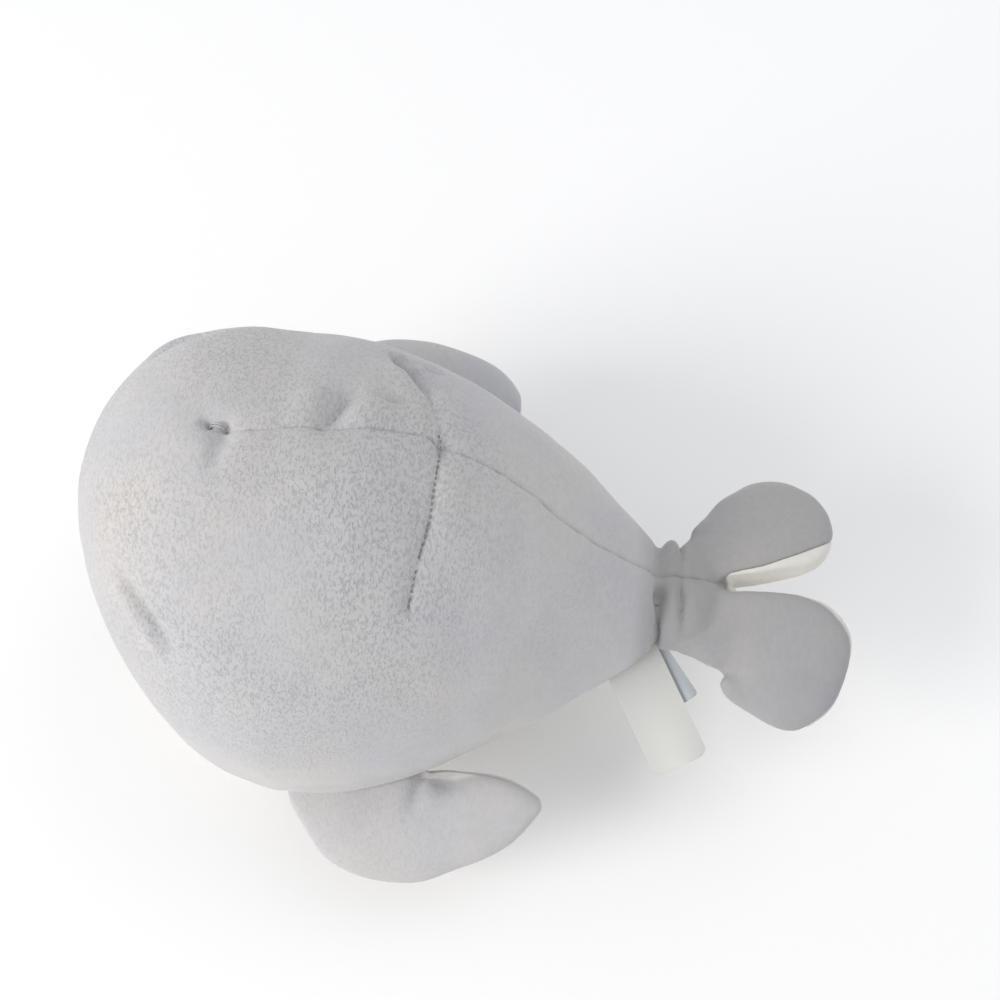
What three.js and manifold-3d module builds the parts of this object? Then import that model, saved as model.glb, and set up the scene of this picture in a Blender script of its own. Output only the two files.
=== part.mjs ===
// A plush whale: sewn fabric panels over fibre filling, resting on its belly at z = 0.
// Millimetres, +Z up, nose toward -X, tail toward +X, the whale's left side toward -Y.
// The origin is the middle of the rest patch, below the widest section of the body.
import * as THREE from 'three';
import { mergeVertices } from 'three/addons/utils/BufferGeometryUtils.js';
import Module from 'manifold-3d';

const wasm = await Module();
wasm.setup();

// Body: the skin swells from the nose to the widest section and tapers to the tail seam
const headLength = 76.5;
const tailLength = 126;
const bodyHalfWidth = 79;
const bodyTop = 150;
const waistHeight = 73;
const noseHeight = 90;
const tailHeight = 69;
const bellySink = 6;
const headTurn = 16;
const stockShare = 0.24;
const headPower = 2.25;
const nosePower = 1.63;
const taperPower = 1.86;
const spinePower = 1.35;
const bellyPower = 2.3;

// Fabric and seams
const skinThickness = 2;
const seamGap = 0.3;
const clearance = 0.3;
const limbClearance = 0.6;
const allowanceDepth = 5;
const allowanceWidth = 1.8;
const dartWidth = 1;
const dartDepth = 1.2;

// The belly panel lies below a seam that rises toward the chin and the tail
const bellySeamHeight = 22;
const chinSeamHeight = 40;
const tailSeamHeight = 56;

// Cross darts: each runs from the back seam forward and down one side
const dartStart = 52;
const dartRun = 11;
const dartReach = 47;

// Flippers: the root is sewn to the lower side, the blade sweeps back
const leftFlipperSeat = { front: 2.5, across: 72.6, height: 41 };
const rightFlipperSeat = { front: -12.5, across: 75.7, height: 58.5 };
const flipperDroopAngle = 28;
const flipperRootLength = 49.5;
const flipperSweep = 90.5;
const flipperReach = 31.8;
const flipperHalfThickness = 8;
const flipperRootRadius = 4;
const swellShare = 0.6;
const rearLiftShare = 0.12;
const rootFadeShare = 0.35;
const tipPower = 4;
const lensPower = 0.8;
const rightFlipperAngle = 30;

// Fluke: two lobes on a neck, with a round root that turns in the end of the tail
const flukeHingeSetback = 6.5;
const flukeRootRadius = 12;
const flukeRootHalfWidth = 18.5;
const flukeRootPower = 4;
const flukeLength = 65;
const flukeHalfSpan = 52;
const flukeHalfThickness = 8.5;
const flukeNeckLength = 20;
const flukeYawAngle = 7.5;
const flukePitchAngle = 5;
const leftLobeAngle = 14;
const rightLobeAngle = 18;
const lobeBendWidth = 6;

// Eyes: domed satin stitch, low on the front of the head
const eyeRadius = 5;
const eyeHeight = 1.8;
const eyePlaceShare = 0.785;
const eyeAngle = 116;

// Sewn-in labels near the tail
const labelThickness = 0.6;
const labelCorner = 2.5;
const labelAngle = 27;
const labelLeanAngle = 28;
const careLabel = { x: 120, width: 21, length: 43, behind: 0 };
const sizeLabel = { x: 122.5, width: 9, length: 16, behind: 1.2 };
const labelTuck = 4;

// Facets
const headSteps = 11;
const tailSteps = 11;
const bodySides = 32;
const flipperSteps = 12;
const stationPower = 1.5;
const flipperSides = 14;
const rootSteps = 2;
const flukeSides = 12;
const rootSides = 20;
const eyeSides = 16;
const barrelSteps = 8;
const seamSteps = 12;
const lobeSteps = 20;
const neckSteps = 4;
const edgeSamples = 8;
const labelCornerSteps = 5;
const seatHalvings = 40;
const trimLimitShare = 0.49;
const overrun = 20;
const mergeDistance = 1e-4;
const probeShare = 1e-3;

const greyPlush = new THREE.MeshStandardMaterial({ color: 0xbcbbbf, roughness: 0.95, metalness: 0 });
const creamPlush = new THREE.MeshStandardMaterial({ color: 0xe6e3dc, roughness: 0.95, metalness: 0 });
const fibre = new THREE.MeshStandardMaterial({ color: 0xf4f4f2, roughness: 1, metalness: 0 });
const thread = new THREE.MeshStandardMaterial({ color: 0x23232a, roughness: 0.6, metalness: 0 });
const whiteSatin = new THREE.MeshStandardMaterial({ color: 0xe9eae8, roughness: 0.5, metalness: 0 });
const blueSatin = new THREE.MeshStandardMaterial({ color: 0xb9d3e0, roughness: 0.5, metalness: 0 });

function closedSolid(positions, corners) {
    const build = (triangles) => new wasm.Manifold(new wasm.Mesh({
        numProp: 3,
        vertProperties: Float32Array.from(positions),
        triVerts: Uint32Array.from(triangles),
    }));
    const solid = build(corners);
    return solid.volume() > 0 ? solid : build([...corners].reverse());
}

// A closed surface becomes a solid for joining and cutting
function solidFrom(geometry) {
    const bare = geometry.clone();
    bare.deleteAttribute('normal');
    bare.deleteAttribute('uv');
    const merged = mergeVertices(bare, mergeDistance);
    const corners = merged.index.array;
    const kept = [];
    for (let i = 0; i < corners.length; i += 3) {
        const [a, b, c] = [corners[i], corners[i + 1], corners[i + 2]];
        if (a !== b && b !== c && c !== a) kept.push(a, b, c);
    }
    return closedSolid(merged.attributes.position.array, kept);
}

// A solid whose every point is moved by place(x, y, z)
function moved(solid, place) {
    const data = solid.getMesh();
    const positions = [];
    for (let i = 0; i < data.vertProperties.length; i += 3) {
        positions.push(...place(...data.vertProperties.slice(i, i + 3)));
    }
    return closedSolid(positions, data.triVerts);
}

// Cutting a thin skin can leave crumbs beside it
function largestPiece(solid) {
    return solid.decompose().reduce((best, piece) => (piece.volume() > best.volume() ? piece : best));
}

function meshOf(name, solid, material) {
    const data = solid.getMesh();
    const geometry = new THREE.BufferGeometry();
    geometry.setAttribute('position', new THREE.Float32BufferAttribute(data.vertProperties, 3));
    geometry.setIndex(Array.from(data.triVerts));
    geometry.computeVertexNormals();
    const mesh = new THREE.Mesh(geometry, material);
    mesh.name = name;
    return mesh;
}

// A skin over a row of rings with equal counts; a ring that is one point makes a round end
function loft(rings) {
    const sides = rings[0].length;
    const positions = rings.flat().flatMap((p) => [p.x, p.y, p.z]);
    const index = [];
    for (let i = 0; i + 1 < rings.length; i++) {
        for (let j = 0; j < sides; j++) {
            const a = i * sides + j;
            const b = i * sides + (j + 1) % sides;
            index.push(a, a + sides, b, b, a + sides, b + sides);
        }
    }
    for (const [ring, first] of [[0, true], [rings.length - 1, false]]) {
        const centre = new THREE.Vector3();
        rings[ring].forEach((p) => centre.addScaledVector(p, 1 / sides));
        const hub = positions.length / 3;
        positions.push(centre.x, centre.y, centre.z);
        for (let j = 0; j < sides; j++) {
            const a = ring * sides + j;
            const b = ring * sides + (j + 1) % sides;
            index.push(hub, first ? a : b, first ? b : a);
        }
    }
    const geometry = new THREE.BufferGeometry();
    geometry.setAttribute('position', new THREE.Float32BufferAttribute(positions, 3));
    geometry.setIndex(index);
    return geometry;
}

// Value at a place on a line through [place, value] pairs, all shares
function along(shares, place) {
    let k = 0;
    while (k + 2 < shares.length && shares[k + 1][0] < place) k++;
    const [from, to] = [shares[k], shares[k + 1]];
    const t = THREE.MathUtils.clamp((place - from[0]) / (to[0] - from[0]), 0, 1);
    return THREE.MathUtils.lerp(from[1], to[1], t);
}

// Body

function bodyStation(x) {
    const ahead = Math.max(-x / headLength, 0);
    const behind = Math.max(x / tailLength, 0);
    const headGirth = Math.pow(Math.max(1 - Math.pow(ahead, headPower), 0), 1 / nosePower);
    const tailGirth = 1 - (1 - stockShare) * Math.pow(behind, taperPower);
    const rise = (noseHeight - waistHeight) * Math.pow(ahead, spinePower);
    const fall = (tailHeight - waistHeight) * Math.pow(behind, spinePower);
    return { girth: x < 0 ? headGirth : tailGirth, level: waistHeight + rise + fall };
}

// The angle is counted from the top of the back; the lower half is fuller than an ellipse
function bodyPoint(x, angle) {
    const { girth, level } = bodyStation(x);
    const across = Math.sin(angle);
    const up = Math.cos(angle);
    if (up >= 0) {
        const height = (bodyTop - waistHeight) * girth * up;
        return new THREE.Vector3(x, bodyHalfWidth * girth * across, level + height);
    }
    const fullness = 2 / bellyPower;
    const width = bodyHalfWidth * girth * Math.sign(across) * Math.pow(Math.abs(across), fullness);
    const depth = (waistHeight + bellySink) * girth * Math.pow(-up, fullness);
    return new THREE.Vector3(x, width, level - depth);
}

function bodyNormal(x, angle) {
    const dx = tailLength * probeShare;
    const da = Math.PI * probeShare;
    const length = bodyPoint(Math.min(x + dx, tailLength), angle).sub(bodyPoint(x - dx, angle));
    const round = bodyPoint(x, angle + da).sub(bodyPoint(x, angle - da));
    return length.cross(round).normalize();
}

// The body's skin moved inward by inset, cut flat where it rests and where the fluke joins
function bodyRings(inset) {
    const places = [];
    for (let i = 0; i <= headSteps; i++) places.push(-headLength * Math.cos(i / headSteps * Math.PI / 2));
    for (let i = 1; i <= tailSteps; i++) places.push(tailLength * i / tailSteps);
    return places.map((x, i) => {
        const ring = [];
        for (let j = 0; j < bodySides; j++) {
            const angle = j / bodySides * 2 * Math.PI;
            const point = bodyPoint(x, angle);
            const normal = i === 0 ? new THREE.Vector3(-1, 0, 0) : bodyNormal(x, angle);
            point.addScaledVector(normal, -inset);
            point.z = Math.max(point.z, inset);
            point.x = Math.min(point.x, tailLength - inset);
            ring.push(point);
        }
        return ring;
    });
}

// The head turns a little to the whale's right
function headShift(x) {
    return headTurn * Math.pow(Math.max(-x / headLength, 0), spinePower);
}

function turnHead(solid) {
    return moved(solid, (x, y, z) => [x, y + headShift(x), z]);
}

function flukeHinge() {
    return new THREE.Vector3(tailLength + flukeHingeSetback, 0, tailHeight);
}

function flukeTurn() {
    const { degToRad } = THREE.MathUtils;
    return new THREE.Euler(0, -degToRad(flukePitchAngle), degToRad(flukeYawAngle), 'ZYX');
}

// The round root of the fluke, a body of revolution about its hinge axis
function rootBarrel(inset) {
    const profile = [];
    const half = flukeRootHalfWidth - inset;
    for (let i = 0; i <= barrelSteps; i++) {
        const y = -half * Math.cos(i / barrelSteps * Math.PI);
        const rim = 1 - Math.pow(Math.abs(y) / half, flukeRootPower);
        profile.push(new THREE.Vector2((flukeRootRadius - inset) * Math.sqrt(Math.max(rim, 0)), y));
    }
    return new THREE.LatheGeometry(profile, rootSides);
}

function tailSocket(inset) {
    const hinge = flukeHinge();
    const barrel = rootBarrel(inset);
    barrel.applyMatrix4(new THREE.Matrix4().makeRotationFromEuler(flukeTurn()));
    barrel.translate(hinge.x, hinge.y, hinge.z);
    return solidFrom(barrel);
}

function bodySolid(inset) {
    return solidFrom(loft(bodyRings(inset))).subtract(tailSocket(-limbClearance - inset));
}

// A wall on the back seam's plane, from half a gap to a given half width
function backSeamWall(halfWidth) {
    const long = headLength + tailLength + 2 * overrun;
    const tall = bodyTop + 2 * overrun;
    const wall = new THREE.BoxGeometry(long, 2 * halfWidth, tall);
    wall.translate((tailLength - headLength) / 2, 0, bodyTop / 2);
    return solidFrom(wall);
}

function bellySeamLevel(x) {
    const end = x < 0 ? chinSeamHeight : tailSeamHeight;
    const share = x < 0 ? -x / headLength : x / tailLength;
    return bellySeamHeight + (end - bellySeamHeight) * share * share;
}

// All that lies between two offsets from the belly seam; an open side reaches past the body
function bellySeamBand(low, high) {
    const outline = new THREE.Shape();
    const from = -headLength - overrun;
    const step = (headLength + tailLength + 2 * overrun) / seamSteps;
    for (let i = 0; i <= seamSteps; i++) {
        const x = from + i * step;
        const z = low === null ? -overrun : bellySeamLevel(x) + low;
        if (i === 0) outline.moveTo(x, z);
        else outline.lineTo(x, z);
    }
    for (let i = seamSteps; i >= 0; i--) {
        const x = from + i * step;
        outline.lineTo(x, high === null ? bodyTop + overrun : bellySeamLevel(x) + high);
    }
    const wide = bodyHalfWidth + overrun;
    const band = new THREE.ExtrudeGeometry(outline, { depth: 2 * wide, bevelEnabled: false });
    band.rotateX(Math.PI / 2);
    band.translate(0, wide, 0);
    return solidFrom(band);
}

function halfSpace(side) {
    const long = headLength + tailLength + 2 * overrun;
    const wide = bodyHalfWidth + overrun;
    const block = new THREE.BoxGeometry(long, wide, bodyTop + 2 * overrun);
    block.translate((tailLength - headLength) / 2, side * (wide + seamGap) / 2, bodyTop / 2);
    return solidFrom(block);
}

// A dart is a stitched groove in the skin, slanting forward from the back seam
function dartSheet(side) {
    const long = Math.hypot(dartRun, dartReach);
    const sheet = new THREE.BoxGeometry(long, dartWidth, bodyTop);
    sheet.translate(long / 2, 0, bodyTop);
    sheet.rotateZ(side * (Math.PI / 2 + Math.atan2(dartRun, dartReach)));
    sheet.translate(dartStart, 0, 0);
    return solidFrom(sheet);
}

// Left and right panels meet on the back and below the nose; the belly panel closes the underside.
// Along each seam the panels turn in by allowanceDepth.
function makeBody() {
    const outer = bodySolid(0);
    const skin = outer.subtract(bodySolid(skinThickness));
    const turned = outer.subtract(bodySolid(skinThickness + allowanceDepth));
    const fold = allowanceWidth + seamGap / 2;
    const backFold = turned.intersect(backSeamWall(fold)).intersect(bellySeamBand(seamGap, null));
    const bellyFold = turned.intersect(bellySeamBand(-fold, fold));
    const groove = outer.subtract(bodySolid(dartDepth));
    const darts = groove.intersect(dartSheet(-1).add(dartSheet(1)));
    const sewn = skin.add(backFold).add(bellyFold).subtract(darts);
    const upper = sewn.intersect(bellySeamBand(seamGap / 2, null));
    const group = new THREE.Group();
    for (const [name, side] of [['left_side_panel', -1], ['right_side_panel', 1]]) {
        group.add(meshOf(name, turnHead(upper.intersect(halfSpace(side))), greyPlush));
    }
    const belly = sewn.intersect(bellySeamBand(null, -seamGap / 2));
    group.add(meshOf('belly_panel', turnHead(belly), creamPlush));

    const room = fold + clearance;
    const deep = outer.subtract(bodySolid(skinThickness + allowanceDepth + clearance));
    const backRoom = deep.intersect(backSeamWall(room)).intersect(bellySeamBand(0, null));
    const bellyRoom = deep.intersect(bellySeamBand(-room, room));
    const filling = bodySolid(skinThickness + clearance).subtract(backRoom).subtract(bellyRoom);
    group.add(meshOf('body_stuffing', turnHead(filling), fibre));
    for (const [name, side] of [['left_eye', -1], ['right_eye', 1]]) {
        group.add(meshOf(name, turnHead(eyeSolid(side)), thread));
    }
    return group;
}

// An eye is a low dome of satin stitch standing on the skin
function eyeSolid(side) {
    const x = -headLength * eyePlaceShare;
    const angle = THREE.MathUtils.degToRad(eyeAngle) * side;
    const dome = new THREE.SphereGeometry(1, eyeSides, eyeSides / 2);
    dome.scale(eyeRadius, eyeRadius, eyeHeight);
    const normal = bodyNormal(x, angle);
    const turn = new THREE.Quaternion().setFromUnitVectors(new THREE.Vector3(0, 0, 1), normal);
    dome.applyQuaternion(turn);
    const place = bodyPoint(x, angle);
    dome.translate(place.x, place.y, place.z);
    return solidFrom(dome).subtract(solidFrom(loft(bodyRings(-clearance))));
}

// Flippers, built for the right side in the flipper's own plane: x back, y outward, z up

const flipperLeadShares = [
    [0, 0], [0.01, 0.19], [0.10, 0.56], [0.19, 0.83], [0.33, 0.98], [0.47, 1],
    [0.62, 0.89], [0.845, 0.49], [0.985, 0.10], [1, 0],
];
const flipperTrailShares = [[0.66, -0.31], [0.86, -0.26], [0.98, -0.10], [1, 0]];

// How far out the body's side lies at a place along the flipper's plane
function seatReach(x, seat) {
    const droop = THREE.MathUtils.degToRad(flipperDroopAngle);
    const { girth, level } = bodyStation(x);
    let low = -bodyHalfWidth;
    let high = bodyHalfWidth;
    for (let i = 0; i < seatHalvings; i++) {
        const reach = (low + high) / 2;
        const y = seat.across + reach * Math.cos(droop) - seat.side * headShift(x);
        const z = seat.height - reach * Math.sin(droop) - level;
        const across = Math.pow(Math.abs(y) / (bodyHalfWidth * girth), bellyPower);
        const below = Math.pow(Math.abs(z) / ((waistHeight + bellySink) * girth), bellyPower);
        if (across + below < 1) low = reach;
        else high = reach;
    }
    return low;
}

function rootCentre(x, seat) {
    return seatReach(x, seat) + clearance + flipperRootRadius;
}

function flipperCurve(shares, first, seat) {
    const points = shares.map(([x, y]) => new THREE.Vector3(
        seat.front + x * flipperSweep, y * flipperReach, 0));
    return new THREE.CatmullRomCurve3([first, ...points], false, 'centripetal');
}

// Stations from root to tip, closer together toward the tip
function flipperStation(i) {
    return 1 - Math.pow(1 - i / flipperSteps, stationPower);
}

function rootEnds(seat) {
    const end = (x) => new THREE.Vector3(x, rootCentre(x, seat), 0);
    return [end(seat.front), end(seat.front + flipperRootLength)];
}

function flipperSolid(inset, seat) {
    const [front, rear] = rootEnds(seat);
    const lead = flipperCurve(flipperLeadShares, front, seat);
    const trail = flipperCurve(flipperTrailShares, rear, seat);
    const rings = [];
    const addRing = (s, inward, halfHeight) => {
        const from = lead.getPointAt(s);
        const to = trail.getPointAt(s);
        const trim = Math.min(inset / Math.max(from.distanceTo(to), inset, mergeDistance), trimLimitShare);
        const ring = [];
        for (let j = 0; j < flipperSides; j++) {
            const angle = j / flipperSides * 2 * Math.PI;
            const across = THREE.MathUtils.lerp(trim, 1 - trim, (1 - Math.cos(angle)) / 2);
            const point = from.clone().lerp(to, across);
            const chord = THREE.MathUtils.lerp(front.y, rear.y, across);
            const bulge = rootCentre(THREE.MathUtils.lerp(front.x, rear.x, across), seat) - chord;
            const lens = Math.pow(Math.abs(Math.sin(angle)), lensPower);
            const fade = Math.min((1 - across) / rootFadeShare, 1);
            point.y += bulge * Math.pow(1 - s, 2) - inward * fade;
            const lift = s * rearLiftShare * flipperReach;
            if (s > 0) point.y = Math.max(point.y, rootCentre(point.x, seat) + lift);
            point.z = -halfHeight * Math.sign(Math.sin(angle)) * lens;
            ring.push(point);
        }
        rings.push(ring);
    };
    const round = flipperRootRadius - inset;
    for (let i = 0; i < rootSteps; i++) {
        const turn = (1 - i / rootSteps) * Math.PI / 2;
        addRing(0, round * Math.sin(turn), i === 0 ? 0 : round * Math.cos(turn));
    }
    for (let i = 0; i <= flipperSteps; i++) {
        const s = flipperStation(i);
        const filled = Math.sin(Math.min(s / swellShare, 1) * Math.PI / 2);
        const full = THREE.MathUtils.lerp(flipperRootRadius, flipperHalfThickness, filled);
        const swell = full * Math.sqrt(1 - Math.pow(s, tipPower)) - inset;
        const chord = lead.getPointAt(s).distanceTo(trail.getPointAt(s));
        const room = swell > clearance && chord > 2 * inset + clearance;
        if (room || inset === 0) addRing(s, 0, Math.max(swell, 0));
    }
    addRing(flipperStation(rings.length - rootSteps - 1), 0, 0);
    return solidFrom(loft(rings));
}

// The flipper turns about the root's outermost point, along the chord of its root
function flipperHinge(seat) {
    const [front, rear] = rootEnds(seat);
    const x = (front.x + rear.x) / 2;
    return { point: new THREE.Vector3(x, rootCentre(x, seat), 0), axis: rear.sub(front).normalize() };
}

// Everything on one side of a plane, as a block that reaches past the piece
function block(size, from) {
    const box = new THREE.BoxGeometry(2 * size, 2 * size, size);
    box.translate(0, 0, from > 0 ? from + size / 2 : from - size / 2);
    return solidFrom(box);
}

function makeFlipper(name, side, place, raise) {
    const { degToRad } = THREE.MathUtils;
    const seat = { ...place, side };
    const hinge = flipperHinge(seat);
    const lay = (solid) => {
        const placed = solid.translate(-hinge.point.x, -hinge.point.y, 0);
        return side > 0 ? placed : moved(placed, (x, y, z) => [x, -y, z]);
    };
    const skin = flipperSolid(0, seat).subtract(flipperSolid(skinThickness, seat));
    const filling = flipperSolid(skinThickness + limbClearance, seat);
    const size = 2 * flipperSweep;
    const top = skin.intersect(block(size, seamGap / 2));
    const bottom = skin.intersect(block(size, -seamGap / 2));
    const pivot = new THREE.Group();
    pivot.add(meshOf(name + '_top_panel', lay(top), greyPlush));
    pivot.add(meshOf(name + '_bottom_panel', lay(bottom), creamPlush));
    pivot.add(meshOf(name + '_stuffing', lay(filling), fibre));
    pivot.position.set(hinge.point.x, side * hinge.point.y, 0);
    const axis = new THREE.Vector3(hinge.axis.x, side * hinge.axis.y, 0);
    pivot.quaternion.setFromAxisAngle(axis, side * degToRad(raise));
    const root = new THREE.Group();
    root.position.set(0, side * seat.across, seat.height);
    root.rotation.x = -side * degToRad(flipperDroopAngle);
    root.add(pivot);
    return root;
}

// Fluke, in its hinge's frame: x back, y across, z up

const flukeFrontShares = [
    [0, 0], [0.42, 0], [0.475, 0.11], [0.55, 0.2], [0.66, 0.255], [0.78, 0.3],
    [0.905, 0.4], [0.98, 0.53], [1, 0.635],
];
const flukeRearShares = [
    [0, 0.36], [0.03, 0.6], [0.06, 0.78], [0.12, 0.9], [0.2, 0.965], [0.36, 1],
    [0.53, 0.99], [0.7, 0.945], [0.87, 0.85], [0.97, 0.745], [1, 0.635],
];
const flukeThicknessShares = [[0, 0.5], [0.12, 0.8], [0.35, 1], [0.7, 0.92], [0.9, 0.62], [1, 0.3]];
const flukeStationShares = [0.03, 0.06, 0.12, 0.22, 0.34, 0.42, 0.5, 0.6, 0.72, 0.83, 0.92, 0.97];
const neckHeightShares = [[0, 1], [0.35, 0.93], [0.7, 0.78], [1, 0.5]];
const neckWidthShares = [[0, 1], [0.35, 0.98], [0.7, 0.94], [1, 0.8]];

// The front or rear edge of the fluke at y, drawn in by inset all round
function flukeEdge(shares, y, inset, facing) {
    let edge = facing * Infinity;
    for (let k = -edgeSamples; k <= edgeSamples; k++) {
        const shift = inset * k / edgeSamples;
        const span = Math.min(Math.abs(y + shift) / flukeHalfSpan, 1);
        const drawn = Math.sqrt(Math.max(inset * inset - shift * shift, 0));
        const value = flukeLength * along(shares, span) - facing * drawn;
        edge = facing > 0 ? Math.min(edge, value) : Math.max(edge, value);
    }
    return edge;
}

// Where a point at y on the flat pattern lies once its lobe droops
function lobePlace(y) {
    const droop = THREE.MathUtils.degToRad(y < 0 ? leftLobeAngle : rightLobeAngle);
    const out = Math.hypot(y, lobeBendWidth) - lobeBendWidth;
    return { y: y - Math.sign(y) * out * (1 - Math.cos(droop)), z: -out * Math.sin(droop) };
}

// All that lies above or below the seam round the fluke's edge
function flukeFace(facing) {
    const wide = flukeHalfSpan + overrun;
    const deep = flukeLength + overrun;
    const outline = new THREE.Shape();
    outline.moveTo(-wide, facing * wide);
    for (let i = 0; i <= lobeSteps; i++) {
        const middle = lobePlace(wide * (2 * i / lobeSteps - 1));
        outline.lineTo(middle.y, middle.z + facing * seamGap / 2);
    }
    outline.lineTo(wide, facing * wide);
    const face = new THREE.ExtrudeGeometry(outline, { depth: 2 * deep, bevelEnabled: false });
    face.translate(0, 0, -deep);
    const [back, across, up] = [0, 1, 2].map((k) => new THREE.Vector3().setComponent(k, 1));
    return solidFrom(face.applyMatrix4(new THREE.Matrix4().makeBasis(across, up, back)));
}

function flukeBlade(inset) {
    const shares = [...flukeStationShares].reverse().map((share) => -share);
    const stations = [...shares, 0, ...flukeStationShares];
    const rings = [];
    for (const share of [-1, ...stations, 1]) {
        const y = share * flukeHalfSpan;
        const front = flukeEdge(flukeFrontShares, y, inset, -1);
        const rear = flukeEdge(flukeRearShares, y, inset, 1);
        const thickness = flukeHalfThickness * along(flukeThicknessShares, Math.abs(share)) - inset;
        const closed = Math.abs(share) === 1 && inset === 0;
        const inside = Math.abs(y) < flukeHalfSpan - inset && rear - front > inset && thickness > 0;
        if (!closed && !inside) continue;
        rings.push(Array.from({ length: flukeSides }, (_, j) => {
            const angle = j / flukeSides * 2 * Math.PI;
            const lens = Math.sign(Math.sin(angle)) * Math.pow(Math.abs(Math.sin(angle)), lensPower);
            const x = (front + rear) / 2 + (rear - front) / 2 * Math.cos(angle);
            const middle = lobePlace(y);
            return new THREE.Vector3(x, middle.y, middle.z + (closed ? 0 : thickness * lens));
        }));
    }
    return solidFrom(loft(rings));
}

function flukeNeck(inset) {
    const rings = [];
    for (let i = 0; i <= neckSteps; i++) {
        const share = i / neckSteps;
        const height = flukeRootRadius * along(neckHeightShares, share) - inset;
        const width = flukeRootHalfWidth * along(neckWidthShares, share) - inset;
        const ring = [];
        for (let j = 0; j < rootSides; j++) {
            const angle = j / rootSides * 2 * Math.PI;
            const y = Math.sin(angle);
            const z = Math.sign(Math.cos(angle)) * Math.sqrt(Math.max(1 - Math.pow(y, flukeRootPower), 0));
            ring.push(new THREE.Vector3((flukeNeckLength - inset) * share, width * y, height * z));
        }
        rings.push(ring);
    }
    return solidFrom(loft(rings));
}

function flukeSolid(inset) {
    return flukeBlade(inset).add(flukeNeck(inset)).add(solidFrom(rootBarrel(inset)));
}

function makeFluke() {
    const skin = flukeSolid(0).subtract(flukeSolid(skinThickness));
    const size = flukeLength + overrun;
    const top = skin.intersect(flukeFace(1));
    const group = new THREE.Group();
    for (const [name, side] of [['fluke_top_panel_left', -1], ['fluke_top_panel_right', 1]]) {
        const half = new THREE.BoxGeometry(2 * size, size, 2 * size);
        half.translate(0, side * (size + seamGap) / 2, 0);
        group.add(meshOf(name, top.intersect(solidFrom(half)), greyPlush));
    }
    group.add(meshOf('fluke_bottom_panel', skin.intersect(flukeFace(-1)), creamPlush));
    group.add(meshOf('fluke_stuffing', flukeSolid(skinThickness + limbClearance), fibre));
    group.position.copy(flukeHinge());
    group.rotation.copy(flukeTurn());
    return group;
}

// A label is a strip of satin sewn into the seam on the left of the tail
function makeLabel(name, label, material) {
    const { degToRad } = THREE.MathUtils;
    const half = label.width / 2;
    const end = -label.length;
    const outline = new THREE.Shape();
    outline.moveTo(half, labelTuck);
    outline.lineTo(-half, labelTuck);
    outline.lineTo(-half, end + labelCorner);
    outline.absarc(-half + labelCorner, end + labelCorner, labelCorner, Math.PI, 1.5 * Math.PI);
    outline.absarc(half - labelCorner, end + labelCorner, labelCorner, 1.5 * Math.PI, 2 * Math.PI);
    const strip = new THREE.ExtrudeGeometry(outline, {
        depth: labelThickness, bevelEnabled: false, curveSegments: labelCornerSteps,
    });
    strip.translate(0, 0, -labelThickness / 2 - label.behind);
    strip.rotateZ(degToRad(labelAngle));
    strip.rotateX(degToRad(labelLeanAngle));
    const root = bodyPoint(label.x, -Math.PI / 2 - degToRad(labelLeanAngle));
    strip.translate(root.x, root.y, root.z);
    const skinLine = solidFrom(loft(bodyRings(-clearance)));
    return meshOf(name, largestPiece(solidFrom(strip).subtract(skinLine)), material);
}

const whale = new THREE.Group();
whale.add(makeBody());
whale.add(makeFlipper('left_flipper', -1, leftFlipperSeat, 0));
whale.add(makeFlipper('right_flipper', 1, rightFlipperSeat, rightFlipperAngle));
whale.add(makeFluke());
whale.add(makeLabel('care_label', careLabel, whiteSatin));
whale.add(makeLabel('size_label', sizeLabel, blueSatin));

export default whale;
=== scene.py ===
"""A plush whale dressed for its picture: sewn short-pile skin, stitched darts, fluke, flippers, labels.

Lengths in the shape functions are millimetres, angles are degrees, and meshes are made in metres.
The frame is the CAD's: +X toward the tail, +Y toward the whale's right, +Z up, belly at z = 0.
"""
from math import cos, pi, radians, sin

import bmesh
import bpy
import numpy as np
from mathutils import Matrix, Vector


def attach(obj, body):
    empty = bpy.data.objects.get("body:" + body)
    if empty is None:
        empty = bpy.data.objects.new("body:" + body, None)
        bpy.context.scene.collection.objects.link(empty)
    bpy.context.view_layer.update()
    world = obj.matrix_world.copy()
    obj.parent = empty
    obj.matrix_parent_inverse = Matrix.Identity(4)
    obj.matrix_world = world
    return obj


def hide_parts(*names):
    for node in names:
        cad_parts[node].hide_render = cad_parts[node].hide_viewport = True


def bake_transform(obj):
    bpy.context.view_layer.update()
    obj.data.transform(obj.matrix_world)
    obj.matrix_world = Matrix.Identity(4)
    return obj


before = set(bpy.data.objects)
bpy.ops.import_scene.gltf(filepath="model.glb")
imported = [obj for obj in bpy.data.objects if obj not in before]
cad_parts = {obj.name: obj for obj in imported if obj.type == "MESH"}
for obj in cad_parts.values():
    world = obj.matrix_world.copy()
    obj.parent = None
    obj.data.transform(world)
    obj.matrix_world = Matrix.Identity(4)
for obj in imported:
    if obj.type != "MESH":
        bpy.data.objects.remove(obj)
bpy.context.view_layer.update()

MM = 0.001
SIGN = {"left": -1, "right": 1}

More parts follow.
